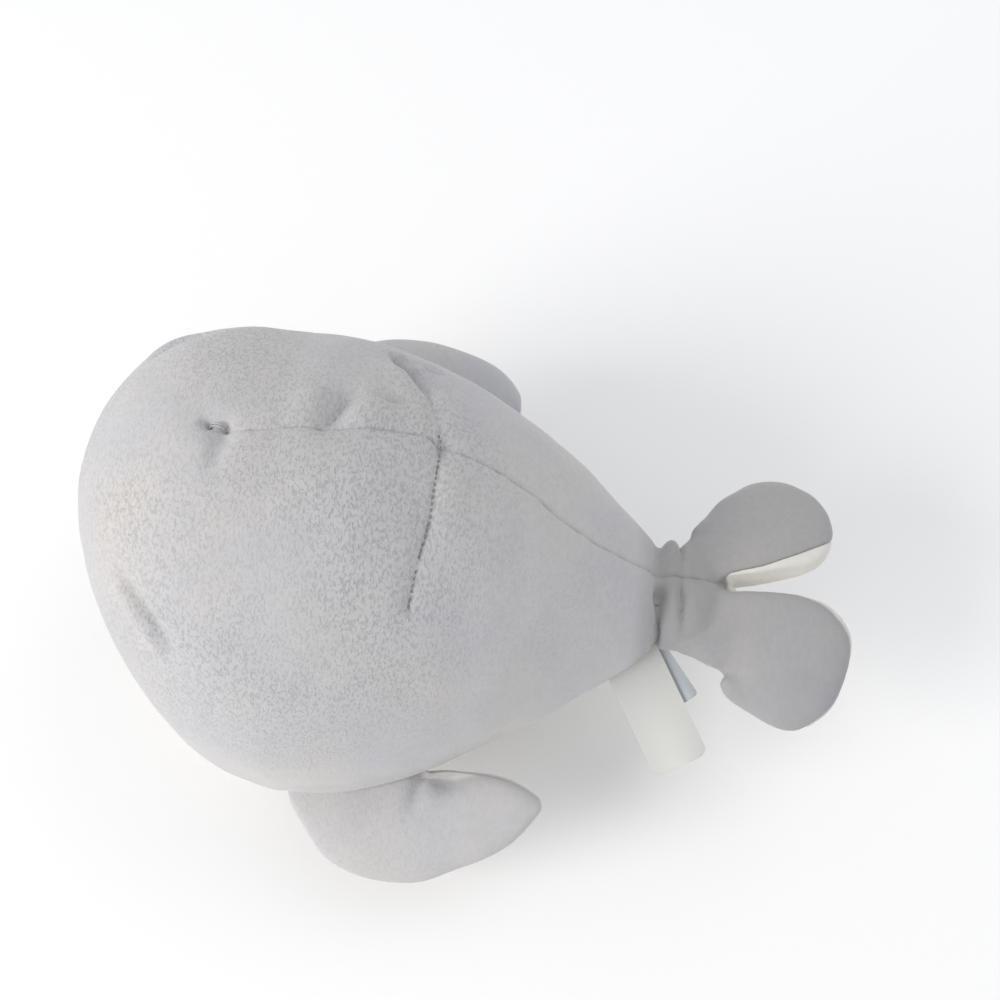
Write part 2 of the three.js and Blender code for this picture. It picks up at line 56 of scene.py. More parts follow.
# Body, as in the CAD
HEAD_LENGTH = 76.5
TAIL_LENGTH = 126.0
HALF_WIDTH = 79.0
TOP = 150.0
WAIST_HEIGHT = 73.0
NOSE_HEIGHT = 90.0
TAIL_HEIGHT = 69.0
BELLY_SINK = 6.0
BACK_RISE = TOP - WAIST_HEIGHT
BELLY_FALL = WAIST_HEIGHT + BELLY_SINK
HEAD_TURN = 16.0
STOCK_SHARE = 0.24
HEAD_POWER = 2.25
NOSE_POWER = 1.63
TAPER_POWER = 1.86
SPINE_POWER = 1.35
BELLY_POWER = 2.3
BELLY_SEAM = 22.0
CHIN_SEAM = 40.0
TAIL_SEAM = 56.0

# Fluke, as in the CAD
HINGE = (132.5, 0.0, 69.0)
FLUKE_LENGTH = 65.0
FLUKE_HALF_SPAN = 52.0
FLUKE_HALF_THICKNESS = 8.5
FLUKE_YAW = 7.5
FLUKE_PITCH = 5.0
LEFT_LOBE_DROOP = 14.0
RIGHT_LOBE_DROOP = 18.0
LEFT_LOBE_SHARE = 1.025
LOBE_BEND_WIDTH = 6.0
# Here the droop sets in between these two distances behind the hinge
DROOP_ZONE = (4, 22)

# Flippers, as in the CAD, but for the right one's shorter sweep
# Flipper seats: front of the root, distance from the middle, height
FLIPPER_SEAT = {"left": (2.5, 72.6, 41.0), "right": (-12.5, 75.7, 58.5)}
FLIPPER_DROOP = 28.0
FLIPPER_RAISE = {"left": 0.0, "right": 30.0}
FLIPPER_ROOT_LENGTH = 49.5
FLIPPER_SWEEP = {"left": 90.5, "right": 87.6}
FLIPPER_REACH = 31.8
FLIPPER_HALF_THICKNESS = 8.0
FLIPPER_ROOT_RADIUS = 4.0
CLEARANCE = 0.3
# The skin's root: how deep it runs into the flank, and how much nearer to it than the solid's it lies
ROOT_TUCK = 6.0
ROOT_SINK = 3.2

# The neck between tail and lobes, in rows: place behind the hinge, half width, shift to the right,
# height above the hinge, depth below it
NECK_STATIONS = [
    (-16, 17.5, 0.0, 17.5, 17.5), (-6.5, 20.4, -1.6, 17.4, 16.5), (0, 20.6, -1.8, 16.4, 13.5),
    (8, 19.8, -1.8, 12.8, 11.5), (14, 17.4, -1.6, 8.8, 8.5), (18, 12, 0.0, 4.0, 5.0),
]

# How square the cross-sections are: 1 is an ellipse, less is squarer
BLADE_POWER = 0.72
NECK_POWER = 0.85
LENS_POWER = 0.75

# How fine the meshes are
BODY_SIDES, HEAD_ROWS, TAIL_ROWS = 192, 60, 84
BLADE_SIDES, BLADE_ROWS = 48, 91
NECK_SIDES, NECK_ROWS = 64, 36
FLIPPER_SIDES, FLIPPER_ROWS, TUCK_ROWS, EDGE_POINTS = 64, 64, 7, 400
LABEL_ROWS, LABEL_COLS = 34, 13
VOXEL = 1.25

# Camera: it looks down on the whale's left side
CAMERA_ELEVATION = 62.0
CAMERA_ROLL = 4.6
CAMERA_DISTANCE = 484.0
CAMERA_AIM = (0.0, 0.0, 74.0)
AIM_SHARE = (0.300, 0.557)
FOCAL_SHARE = 1.360
SENSOR = 36.0


def smoothstep(a, b, x):
    t = np.clip((x - a) / (b - a), 0.0, 1.0)
    return t * t * (3 - 2 * t)


def fade(zone, x):
    """1 before a zone and 0 beyond it."""
    return 1 - smoothstep(*zone, x)


def unit(vectors):
    return vectors / np.linalg.norm(vectors, axis=-1, keepdims=True)


def signed_power(value, power):
    return np.sign(value) * np.abs(value) ** power


def station(x):
    """Girth share and middle height of the body at x."""
    ahead = np.maximum(-x / HEAD_LENGTH, 0)
    behind = np.maximum(x / TAIL_LENGTH, 0)
    head = np.maximum(1 - ahead ** HEAD_POWER, 0) ** (1 / NOSE_POWER)
    tail = 1 - (1 - STOCK_SHARE) * behind ** TAPER_POWER
    rise = (NOSE_HEIGHT - WAIST_HEIGHT) * ahead ** SPINE_POWER
    fall = (TAIL_HEIGHT - WAIST_HEIGHT) * behind ** SPINE_POWER
    return np.where(x < 0, head, tail), WAIST_HEIGHT + rise + fall


def head_turn(x):
    return HEAD_TURN * np.maximum(-x / HEAD_LENGTH, 0) ** SPINE_POWER


def body_point(x, angle):
    """Skin point at x and an angle in radians from the top of the back, without the head's turn."""
    x, angle = np.broadcast_arrays(np.asarray(x, float), np.asarray(angle, float))
    girth, level = station(x)
    across, up = np.sin(angle), np.cos(angle)
    full = 2 / BELLY_POWER
    low = up < 0
    width = np.where(low, signed_power(across, full), across)
    below = -BELLY_FALL * np.abs(up) ** full
    height = np.where(low, below, BACK_RISE * up)
    return np.stack([x, HALF_WIDTH * girth * width, level + girth * height], axis=-1)


def skin_point(x, degrees):
    """Skin point with the head's turn."""
    p = body_point(x, np.radians(degrees))
    p[..., 1] += head_turn(np.asarray(x, float))
    return p


def smooth_path(points, steps=12):
    """A dense Catmull-Rom path through a few points."""
    p = np.asarray(points, float)
    p = np.vstack([2 * p[0] - p[1], p, 2 * p[-1] - p[-2]])
    path = []
    for k in range(1, len(p) - 2):
        for t in np.arange(steps) / steps:
            a, b, c, d = p[k - 1:k + 3]
            path.append(0.5 * (2 * b + (c - a) * t + (2 * a - 5 * b + 4 * c - d) * t * t
                               + (3 * b - a - 3 * c + d) * t ** 3))
    path.append(p[-2])
    return np.array(path)


def path_reach(path):
    """How far along a path each of its points lies."""
    return np.concatenate([[0], np.cumsum(np.linalg.norm(np.diff(path, axis=0), axis=1))])


def path_distance(points, path):
    """Distance of each point from a path, and how far along the path (0 to 1) its foot lies."""
    best = np.full(len(points), np.inf)
    foot = np.zeros(len(points))
    for k in range(len(path) - 1):
        a, b = path[k], path[k + 1]
        ab = b - a
        t = np.clip((points - a) @ ab / (ab @ ab), 0, 1)
        d = np.linalg.norm(points - a - t[:, None] * ab, axis=1)
        nearer = d < best
        best[nearer] = d[nearer]
        foot[nearer] = (k + t[nearer]) / (len(path) - 1)
    return best, foot


def bump(d, width):
    return np.exp(-(d / width) ** 2)


def overhang(d, before, behind):
    """A groove profile that starts steeply at the line and eases out behind it."""
    return np.exp(np.where(d > 0, -d / behind, d / before))


def crease(d, width):
    """A sharp-bottomed groove profile, 1 at the line."""
    return np.exp(-np.abs(d) / width)


def groove(d, sharp, soft):
    """A sharp crease in a soft valley, each given as (depth, width)."""
    return sharp[0] * crease(d, sharp[1]) + soft[0] * bump(d, soft[1])


def midway(at, edge):
    """0 near both ends of a line and 1 in its middle."""
    return np.sin(np.clip(at, edge, 1 - edge) * pi)


# Lines on the skin, as (x, degrees from the top of the back)
BACK_SEAM = [
    (-76.0, 0), (-63, -1), (-50, -1.5), (-40, -0.5), (-31, 1), (-22, 2.6), (-12, 4.1), (-5.7, 5.3),
    (1.3, 7.2), (9.3, 8.3), (14.5, 9.1), (21.6, 10.1), (27.8, 11.2), (36.9, 12.8), (45.1, 14.0), (50, 12.6),
    (55.7, 12.1), (70.4, 11.3), (82.3, 8.2), (89.4, 3.4), (100.2, -0.8), (104, -1.4), (111, -0.2), (119, 0.4),
    (126, 2.4),
]
LEFT_DART = [(49.9, 12.2), (49.3, 1.2), (48.5, -12.2), (46.4, -22.4), (44.5, -33.4), (43.9, -37)]
RIGHT_DART = [
    (50, 11.6), (49.2, 15.1), (46.6, 21.8), (44.3, 26.5), (42.2, 31.0), (38.8, 34.6), (34.4, 39.2),
    (31.5, 43.5), (28.9, 48),
]
SEAM_PUCKER = [
    (7, 6.2), (9.2, 7.3), (12.1, 8.9), (14.9, 12.2), (17.1, 16.4), (19.4, 20.3), (23, 22.0), (27, 22.6),
    (30.5, 23.1), (35.2, 23.6), (42.6, 26.3),
]
BLOWHOLE = (-20.2, 3.6)
NEEDLE_HOLES = [(-23.3, 3.8), (-17.5, 4.2)]
LEFT_BROW = [
    (-49.5, -43), (-46, -44.6), (-41, -46.8), (-36.5, -48.9), (-32.4, -50.8), (-29.5, -53), (-26.7, -55.5),
]
RIGHT_BROW = [(-53, 38), (-48, 41.5), (-42, 43.5), (-34, 45.5)]
BLOWHOLE_FOLD = [(-16.8, 0.5), (-18.0, -2.4), (-18.7, -5.5), (-18.6, -8.4), (-17.4, -12.4)]


# Meshes


def shade_smooth(mesh):
    mesh.polygons.foreach_set("use_smooth", [True] * len(mesh.polygons))


def add_object(name, data):
    obj = bpy.data.objects.new(name, data)
    bpy.context.scene.collection.objects.link(obj)
    return obj


def build_mesh(name, verts, faces):
    mesh = bpy.data.meshes.new(name)
    mesh.from_pydata((np.asarray(verts) * MM).tolist(), [], faces)
    mesh.validate()
    shade_smooth(mesh)
    return add_object(name, mesh)


def edit_mesh(mesh, change, into=None):
    """Lets a function change a mesh, or makes another mesh of the result."""
    bm = bmesh.new()
    bm.from_mesh(mesh)
    change(bm)
    bm.to_mesh(into or mesh)
    bm.free()


def face_outward(bm):
    bmesh.ops.recalc_face_normals(bm, faces=bm.faces)


def turn_faces(bm):
    bmesh.ops.reverse_faces(bm, faces=bm.faces)


def numbers(items, name, width, kind=float):
    """One property of all items, as rows of numbers."""
    values = np.empty(len(items) * width, dtype=kind)
    items.foreach_get(name, values)
    return values.reshape(-1, width)


def whole_numbers(items, name):
    return numbers(items, name, 1, np.int64)[:, 0]


def coords(obj):
    return numbers(obj.data.vertices, "co", 3) / MM


def set_coords(obj, co):
    obj.data.vertices.foreach_set("co", (np.asarray(co) * MM).ravel())
    obj.data.update()


def normals(obj):
    return numbers(obj.data.vertex_normals, "vector", 3)


def grid_faces(rows, cols, closed=True):
    faces = []
    for i in range(rows - 1):
        for j in range(cols if closed else cols - 1):
            k = (j + 1) % cols
            faces.append((i * cols + j, i * cols + k, (i + 1) * cols + k, (i + 1) * cols + j))
    return faces


def capped_faces(rows, cols):
    """Faces of a tube of rings, with a fan at each end to the two points that follow the rings."""
    faces = grid_faces(rows, cols)
    last = (rows - 1) * cols
    for j in range(cols):
        k = (j + 1) % cols
        faces.append((rows * cols, k, j))
        faces.append((rows * cols + 1, last + j, last + k))
    return faces


def closed_loft(name, rings):
    """A closed mesh through rings of equal count, with a hub at each end."""
    rings = np.asarray(rings, float)
    verts = [*rings.reshape(-1, 3), rings[0].mean(axis=0), rings[-1].mean(axis=0)]
    obj = build_mesh(name, verts, capped_faces(*rings.shape[:2]))
    edit_mesh(obj.data, face_outward)
    return obj


def apply_modifiers(obj):
    graph = bpy.context.evaluated_depsgraph_get()
    mesh = bpy.data.meshes.new_from_object(obj.evaluated_get(graph))
    old = obj.data
    obj.modifiers.clear()
    obj.data = mesh
    bpy.data.meshes.remove(old)
    shade_smooth(mesh)


def subdivide(obj):
    sub = obj.modifiers.new("fine", "SUBSURF")
    sub.levels = sub.render_levels = 1
    apply_modifiers(obj)


def neighbours(mesh):
    """How many points adjoin each point, and a function that adds up their values."""
    a, b = numbers(mesh.edges, "vertices", 2, np.int64).T
    count = np.bincount(np.concatenate([a, b]), minlength=len(mesh.vertices))[:, None]

    def round_about(values):
        total = np.zeros_like(values)
        np.add.at(total, a, values[b])
        np.add.at(total, b, values[a])
        return total

    return count, round_about


def relax(obj, rounds, hold):
    """Smooths a mesh without shrinking it, and moves each point only as far as its hold allows."""
    in_share, out_share = 0.5, -0.52
    co = coords(obj)
    count, round_about = neighbours(obj.data)
    for share in (in_share, out_share) * rounds:
        co += share * (round_about(co) / count - co) * hold[:, None]
    set_coords(obj, co)


def mend_folds(obj, rounds=8):
    """Eases the few points whose faces have turned over against the skin round them."""
    ease_share, ring_share = 0.7, 0.6
    mesh = obj.data
    totals = whole_numbers(mesh.polygons, "loop_total")
    face_of = np.repeat(np.arange(len(totals)), totals)
    corner = whole_numbers(mesh.loops, "vertex_index")
    count, round_about = neighbours(mesh)
    for _ in range(rounds):
        n = normals(obj)
        broad = n + round_about(n)
        face = numbers(mesh.polygons, "normal", 3)
        facing = np.einsum("ij,ij->i", face[face_of], broad[corner])
        turned = (np.bincount(corner, weights=facing < 0, minlength=len(n)) > 0).astype(float)
        loose = np.maximum(turned, ring_share * (round_about(turned[:, None])[:, 0] > 0))
        co = coords(obj)
        set_coords(obj, co + ease_share * loose[:, None] * (round_about(co) / count - co))


def slice_field(obj, field, levels):
    """Cuts an edge loop at each level of a field of the points."""
    least, edge_share = 1e-6, 0.02

    def cut(bm):
        bm.verts.index_update()
        value = field(np.array([v.co for v in bm.verts]) / MM) - level
        value = np.where(np.abs(value) < least, least, value)
        new = []
        for e in list(bm.edges):
            a, b = e.verts
            fa, fb = value[a.index], value[b.index]
            if fa * fb < 0:
                new.append((e, a, min(max(fa / (fa - fb), edge_share), 1 - edge_share)))
        made = [bmesh.utils.edge_split(e, a, share)[1] for e, a, share in new]
        bmesh.ops.connect_verts(bm, verts=made, check_degenerate=False)

    for level in levels:
        edit_mesh(obj.data, cut)
        obj.data.update()
        shade_smooth(obj.data)


def face_means(mesh, values):
    """The mean of the points' values on each face."""
    corner = whole_numbers(mesh.loops, "vertex_index")
    starts = whole_numbers(mesh.polygons, "loop_start")
    totals = whole_numbers(mesh.polygons, "loop_total")
    return np.add.reduceat(values[corner], starts, axis=0) / totals[:, None]


def part_mesh(obj, kinds, names):
    """Parts a mesh into one object for each name, by the kind of each face."""
    def keep(bm):
        bm.faces.ensure_lookup_table()
        drop = [f for f, kind in zip(bm.faces, kinds) if kind != key]
        bmesh.ops.delete(bm, geom=drop, context="FACES")

    panels = {}
    for key, name in enumerate(names):
        mesh = bpy.data.meshes.new(name)
        edit_mesh(obj.data, keep, into=mesh)
        shade_smooth(mesh)
        panels[name] = add_object(name, mesh)
    bpy.data.objects.remove(obj)
    return panels


# Skin: body, neck and fluke are sewn into one stuffed form, then parted into its panels


def ring_angles(sides):
    return np.linspace(0, 2 * pi, sides, endpoint=False)


def body_form():
    nose_share = 0.04
    head = -HEAD_LENGTH * np.cos(np.linspace(nose_share, 1, HEAD_ROWS) * pi / 2)
    tail = np.linspace(0, TAIL_LENGTH - 1.0, TAIL_ROWS)[1:]
    angles = ring_angles(BODY_SIDES)
    return closed_loft("body_form", [body_point(x, angles) for x in [*head, *tail]])


def shares_curve(shares):
    """A smooth curve through (place, value) pairs, read by place."""
    path = smooth_path(shares, 10)
    order = np.argsort(path[:, 0], kind="stable")
    return lambda at: np.interp(at, path[order, 0], path[order, 1])


FLUKE_FRONT = {
    "left": shares_curve([
        (0, 0), (0.40, 0), (0.47, 0.08), (0.53, 0.16), (0.575, 0.25), (0.63, 0.221), (0.68, 0.217),
        (0.752, 0.25), (0.831, 0.335), (0.919, 0.437), (0.975, 0.52), (1, 0.60),
    ]),
    "right": shares_curve([
        (0, 0), (0.30, 0), (0.345, 0.10), (0.40, 0.145), (0.477, 0.171), (0.615, 0.258), (0.785, 0.352),
        (0.869, 0.446), (0.942, 0.54), (0.987, 0.66), (1, 0.72),
    ]),
}
FLUKE_REAR = {
    "left": shares_curve([
        (0, 0.32), (0.028, 0.36), (0.037, 0.60), (0.05, 0.68), (0.103, 0.79), (0.18, 0.875),
        (0.304, 0.942), (0.443, 0.965), (0.642, 0.915), (0.835, 0.829), (0.957, 0.706), (1, 0.60),
    ]),
    "right": shares_curve([
        (0, 0.32), (0.028, 0.36), (0.037, 0.60), (0.05, 0.71), (0.10, 0.82), (0.171, 0.891),
        (0.279, 0.943), (0.394, 0.975), (0.596, 0.975), (0.771, 0.934), (0.9, 0.85), (0.97, 0.78), (1, 0.72),
    ]),
}
FLUKE_THICKNESS = shares_curve([(0, 0.5), (0.12, 0.84), (0.35, 1), (0.7, 0.94), (0.9, 0.68), (1, 0.3)])
CROTCH_SHARES = np.array([0.012, 0.022, 0.029])


def blade_form():
    """The two lobes, laid flat."""
    tip_share = 0.995
    turn = ring_angles(BLADE_SIDES)
    spans = np.sin(np.linspace(-tip_share, tip_share, BLADE_ROWS) * pi / 2)
    rings = []
    for span in np.sort(np.concatenate([spans, CROTCH_SHARES, -CROTCH_SHARES])):
        side = "left" if span < 0 else "right"
        front = FLUKE_LENGTH * FLUKE_FRONT[side](abs(span))
        rear = FLUKE_LENGTH * FLUKE_REAR[side](abs(span))
        thick = FLUKE_HALF_THICKNESS * FLUKE_THICKNESS(abs(span)) * (1 - abs(span) ** 12) ** 0.5
        x = (front + rear) / 2 + (rear - front) / 2 * np.cos(turn)
        z = thick * signed_power(np.sin(turn), BLADE_POWER)
        reach = span * FLUKE_HALF_SPAN * (LEFT_LOBE_SHARE if span < 0 else 1)
        rings.append(np.stack([x, np.full(BLADE_SIDES, reach), z], axis=-1))
    return closed_loft("blade_form", rings)


def neck_form():
    """The neck runs from inside the tail to between the lobes, laid flat."""
    turn = ring_angles(NECK_SIDES)
    places, *columns = np.array(NECK_STATIONS).T
    rings = []
    for x in np.linspace(places[0], places[-1], NECK_ROWS):
        width, shift, rise, fall = [np.interp(x, places, column) for column in columns]
        y = shift + width * signed_power(np.sin(turn), NECK_POWER)
        z = np.where(np.cos(turn) > 0, rise, fall) * signed_power(np.cos(turn), NECK_POWER)
        rings.append(np.stack([np.full(NECK_SIDES, float(x)), y, z], axis=-1))
    return closed_loft("neck_form", rings)


def lobe_droop(p):
    """How far each point's place on a drooping lobe is moved from its place on a flat one."""
    out = np.hypot(p[:, 1], LOBE_BEND_WIDTH) - LOBE_BEND_WIDTH
    droop = np.radians(np.where(p[:, 1] < 0, LEFT_LOBE_DROOP, RIGHT_LOBE_DROOP))
    away = smoothstep(*DROOP_ZONE, p[:, 0])
    inward = np.sign(p[:, 1]) * out * (1 - np.cos(droop)) * away
    return -np.stack([np.zeros(len(p)), inward, out * np.sin(droop) * away], axis=-1)


def fluke_matrix():
    turn = Matrix.Rotation(radians(FLUKE_YAW), 3, "Z") @ Matrix.Rotation(radians(-FLUKE_PITCH), 3, "Y")
    return np.array(turn)


def place_fluke(p):
    """Lets the flat lobes hang, and sets them at the end of the tail."""
    return (p + lobe_droop(p)) @ fluke_matrix().T + HINGE


def fluke_local(p):
    """Points in the fluke's frame, with the lobes' droop taken out again."""
    q = (p - HINGE) @ fluke_matrix()
    return q - lobe_droop(q)


def join_forms(forms):
    """One closed skin round several forms."""
    bm = bmesh.new()
    for form in forms:
        bm.from_mesh(form.data)
        bpy.data.objects.remove(form)
    mesh = bpy.data.meshes.new("whale_skin")
    bm.to_mesh(mesh)
    bm.free()
    obj = add_object("whale_skin", mesh)
    remesh = obj.modifiers.new("remesh", "REMESH")
    remesh.mode = "VOXEL"
    remesh.voxel_size = VOXEL * MM
    apply_modifiers(obj)
    return obj


def snap_to_body(p):
    """Moves points of the body's part onto its true surface."""
    head_zone, tail_zone, nose_share, least_share = (-72, -62), (100, 114), 0.9, 0.2
    x = np.clip(p[:, 0], -HEAD_LENGTH * nose_share, TAIL_LENGTH)
    girth, level = station(x)
    y = p[:, 1] / (HALF_WIDTH * girth)
    z = p[:, 2] - level
    up = z / (BACK_RISE * girth)
    down = z / (BELLY_FALL * girth)
    below = (np.abs(y) ** BELLY_POWER + np.abs(down) ** BELLY_POWER) ** (1 / BELLY_POWER)
    reach = np.where(z >= 0, np.hypot(y, up), below)
    share = smoothstep(*head_zone, p[:, 0]) * fade(tail_zone, p[:, 0])
    scale = 1 + (1 / np.maximum(reach, least_share) - 1) * share
    q = p.copy()
    q[:, 1] *= scale
    q[:, 2] = level + z * scale
    return q


# Where the seams run


def seam_y(x):
    """How far right of the middle the back seam lies, without the head's turn."""
    x = np.asarray(x, float)
    table = np.array(BACK_SEAM, float)
    girth, _ = station(x)
    angle = np.interp(x, table[:, 0], table[:, 1])
    back = HALF_WIDTH * girth * np.sin(np.radians(angle))
    return np.where(x < TAIL_LENGTH, back, fluke_seam_y(x))


def fluke_seam_y(x):
    shift, ease_length = 0.3, 12
    end = HALF_WIDTH * STOCK_SHARE * sin(radians(BACK_SEAM[-1][1]))
    along = (x - HINGE[0]) * np.tan(radians(FLUKE_YAW)) + shift
    return end + (along - end) * smoothstep(TAIL_LENGTH, TAIL_LENGTH + ease_length, x)


def belly_seam_z(x):
    share = np.where(x < 0, -x / HEAD_LENGTH, x / TAIL_LENGTH)
    end = np.where(x < 0, CHIN_SEAM, TAIL_SEAM)
    return BELLY_SEAM + (end - BELLY_SEAM) * share ** 2


# The seam leaves the body's belly line for the fluke's edge between these places
EDGE_ZONE = (TAIL_LENGTH - 14, TAIL_LENGTH + 18)
# Where the cream strip on the right lobe ends, in the fluke's flat frame
CREAM_LINE_X = [21, 22.6, 34.6, 46.2, 59.7, 66]
CREAM_LINE_Y = [3.4, 4.3, 6.4, 10.1, 15.2, 17.6]
# How far the cream rolls up over the right and the left lobe, and the grey wraps under the left
CREAM_STRIP, CREAM_LIP, GREY_WRAP = 12.0, 4.0, 3.2
# Where each sets in or ends, behind the hinge or across the lobes, as (start, full)
ROLL_ZONE, STRIP_ZONE, RIGHT_ZONE, LIP_END_ZONE = (19.0, 22.5), (-1.5, 2.5), (-0.5, 3.5), (14, 34)
WRAP_ZONE, WRAP_END_ZONE, WRAP_BEND, WRAP_LEAN_SHARE = (5, 14), (18, 30), 20, 0.5


def low_seam(p):
    """Height above the seam between the grey panels and the cream one, along the whole toy."""
    local = fluke_local(p)
    x, y = local[:, 0], local[:, 1]
    body = p[:, 2] - belly_seam_z(np.minimum(p[:, 0], TAIL_LENGTH))
    there = smoothstep(*EDGE_ZONE, p[:, 0])
    # The right lobe's inner edge rolls up and shows a strip of cream, the left one's only a lip
    line = np.interp(x, CREAM_LINE_X, CREAM_LINE_Y)
    behind = smoothstep(*ROLL_ZONE, x)
    strip = CREAM_STRIP * smoothstep(*STRIP_ZONE, line - y) * behind
    lip = CREAM_LIP * fade(LIP_END_ZONE, -y) * behind
    right = smoothstep(*RIGHT_ZONE, y)
    # On the left the grey panel wraps under the neck and the lobe's front
    ahead = WRAP_LEAN_SHARE * np.maximum(-y - WRAP_BEND, 0)
    under = GREY_WRAP * smoothstep(*WRAP_ZONE, -y) * fade(WRAP_END_ZONE, x - ahead)
    rolled = strip * right + lip * (1 - right) - under
    return body * (1 - there) + (local[:, 2] - rolled) * there


def back_side(p):
    """How far right of the back seam each point lies."""
    return p[:, 1] - seam_y(p[:, 0])


def skin_path(line):
    """A dense path on the skin through (x, degrees) pairs."""
    x, degrees = smooth_path(line).T
    return body_point(x, np.radians(degrees))


def tail_turn(p):
    """Degrees round the tail from the top of the back, positive to the right."""
    follow_share = 0.4
    return np.degrees(np.arctan2(p[:, 1] - seam_y(p[:, 0]) * follow_share, p[:, 2] - TAIL_HEIGHT))


def root_line(side, above):
    """The flipper's root on the flank, without the head's turn, moved up the flank."""
    first, seat_across, seat_height = FLIPPER_SEAT[side]
    droop = radians(FLIPPER_DROOP)
    past_end, count = 1, 14
    line = []
    for x in np.linspace(first - past_end, first + FLIPPER_ROOT_LENGTH + past_end, count):
        reach = seat_reach(x, side) - CLEARANCE - FLIPPER_ROOT_RADIUS
        y = SIGN[side] * (seat_across + reach * cos(droop)) - float(head_turn(x))
        z = seat_height - reach * sin(droop)
        girth, level = station(x)
        low_share = (z + above - level) / (BELLY_FALL * girth)
        turn = float(np.arctan2(abs(y) / (HALF_WIDTH * girth), low_share))
        line.append(body_point(x, SIGN[side] * turn) if above else (x, y, z))
    return np.array(line, float)


# Sculpting of the sewn skin. Creases, valleys, folds and rolls are given as (depth or height, width)
BACK_CREASE, BACK_VALLEY = (0.95, 0.7), (0.8, 5.5)
CHIN_CREASE = (0.8, 0.8)
LOW_CREASE, LOW_VALLEY = (1.0, 0.8), (0.5, 4.0)
LEFT_DART_CREASE, LEFT_DART_VALLEY = (1.5, 0.55), (0.8, 4.5)
RIGHT_DART_CREASE, RIGHT_DART_VALLEY, RIGHT_DART_PIT = (0.9, 0.6), (0.9, 4.0), (4.6, 2.1)
PUCKER_CREASE, PUCKER_VALLEY = (3.6, 2.2), (2.2, 6.5)
BLOWHOLE_VALLEY = (2.0, 3.2)
BROWS = [(LEFT_BROW, -1, (2.9, 2.5)), (RIGHT_BROW, 1, (1.8, 2.5))]
BROW_RIDGE = (1.0, 2.4)
ROOT_ROLL, ROOT_VALLEY = (2.0, 7.0), (0.6, 3.5)
ROLL_ABOVE = 8.5
FILL_PULL, FLANK_SWELL = (1.2, 9.0), (2.8, 56)
FLIPPER_CREASE, FLIPPER_VALLEY = (0.9, 0.7), (0.5, 3.0)
FLIPPER_FOLD, FLIPPER_RIDGE, FLIPPER_HOLLOW = (1.7, 3.0), (0.8, 4.5), (2.0, 10.0)

# Where the darts, the dart's pit and the folds set in or end, as shares of their length, and where
# the gathers lie along the pucker, as (strength, middle, width)
LEFT_END_SHARES, RIGHT_END_SHARES, PIT_SHARES = (0.8, 1.0), (0.93, 1.0), (0.35, 0.75)
FADE_SHARES, FOLD_END_SHARES = (0.3, 1.0), (0.45, 1.0)
GATHER_SHARES = [(1.0, 0.38, 0.19), (0.5, 0.84, 0.13)]
# Along the body: where the back seam starts to show, and ends under the nose, and the fuller flank
SHOWN_ZONE, CHIN_ZONE, FLANK_MIDDLE = (-25.0, -15.0), (-66, -50), 42
# How far the end of the tail sits to the left, and between which places
TAIL_SHIFT, SHIFT_ZONE, SHIFT_END_ZONE = 2.0, (98, 116), (126, 134)
# Heights over which the flat rest on the table ends, for the filling's unevenness and all the rest
REST_ZONE, LIFT_ZONE = (5.0, 0.0), (0.5, 6.0)
# Unevenness of the filling, as (height, wave length, seed)
BODY_CRUMPLES = [(0.28, 34.0, 4), (0.10, 13.0, 5)]
FLIPPER_CRUMPLE = {"left": (0.22, 22.0, 11), "right": (0.22, 22.0, 12)}

# Edge loops on both sides of each seam, at these distances
BACK_LEVELS = (-2.2, -0.9, 0.0, 0.9, 2.2)
LOW_LEVELS = (-2.0, -0.8, 0.0, 0.8, 2.0)
FLIPPER_LEVELS = (-1.6, -0.7, 0.0, 0.7, 1.6)

# Round swells and pits of the skin, as (x, degrees, height, width)
SPOTS = [
    # A pit beside the right dart's end, and a small ridge between the two
    (41.9, 45.5, -3.0, 3.6), (38.0, 40.6, 1.2, 2.6), (33.0, 34.5, 1.6, 5.0),
    # Gathered fabric beside the pucker
    (21.0, 14.5, 1.9, 6.0), (30.0, 18.0, 0.9, 5.0), (8.0, 17.0, 1.0, 6.0),
    # The tack stitch at the blowhole pulls a dimple and two needle holes
    (*BLOWHOLE, -1.4, 5.2), *[(*hole, -3.4, 1.5) for hole in NEEDLE_HOLES],
    # Raised cloth before and behind it
    (BLOWHOLE[0] - 9.0, BLOWHOLE[1] - 6, 0.5, 6.0), (BLOWHOLE[0] + 10.0, BLOWHOLE[1] - 6, 0.5, 6.0),
]


def spot(p, x, degrees, width, squash=(1, 1, 1)):
    """A round swell of height 1 about a place on the skin."""
    return bump(np.linalg.norm((p - body_point(x, radians(degrees))) * squash, axis=1), width)


def swell(d, shape):
    height, width = shape
    return height * bump(d, width)


def seam_lift(p, n):
    """The back seam with its swollen panels, and the seam round the belly and the fluke."""
    steep, least_slope, fine, broad = 0.2, 0.3, 0.9, 0.23
    pull_share, faint_share, soft_share = 0.25, 0.03, 0.3
    x = p[:, 0]
    upper = smoothstep(-steep, steep, n[:, 2])
    side = back_side(p) * np.maximum(n[:, 2], least_slope)
    # The thread pulls more at some stitches than at others
    pull = 1 + pull_share * np.sin(x * fine) * np.sin(x * broad + 1)
    # It is hardly seen before the blowhole
    shown = faint_share + (1 - faint_share) * smoothstep(*SHOWN_ZONE, x)
    lift = -BACK_CREASE[0] * crease(side, BACK_CREASE[1]) * upper * pull * shown
    lift -= swell(side, BACK_VALLEY) * upper * (soft_share + (1 - soft_share) * shown)
    # Its start under the nose
    low = low_seam(p)
    chin = (1 - upper) * fade(CHIN_ZONE, x)
    lift -= CHIN_CREASE[0] * crease(back_side(p), CHIN_CREASE[1]) * chin * (low > 0)
    return lift - groove(low, LOW_CREASE, LOW_VALLEY)


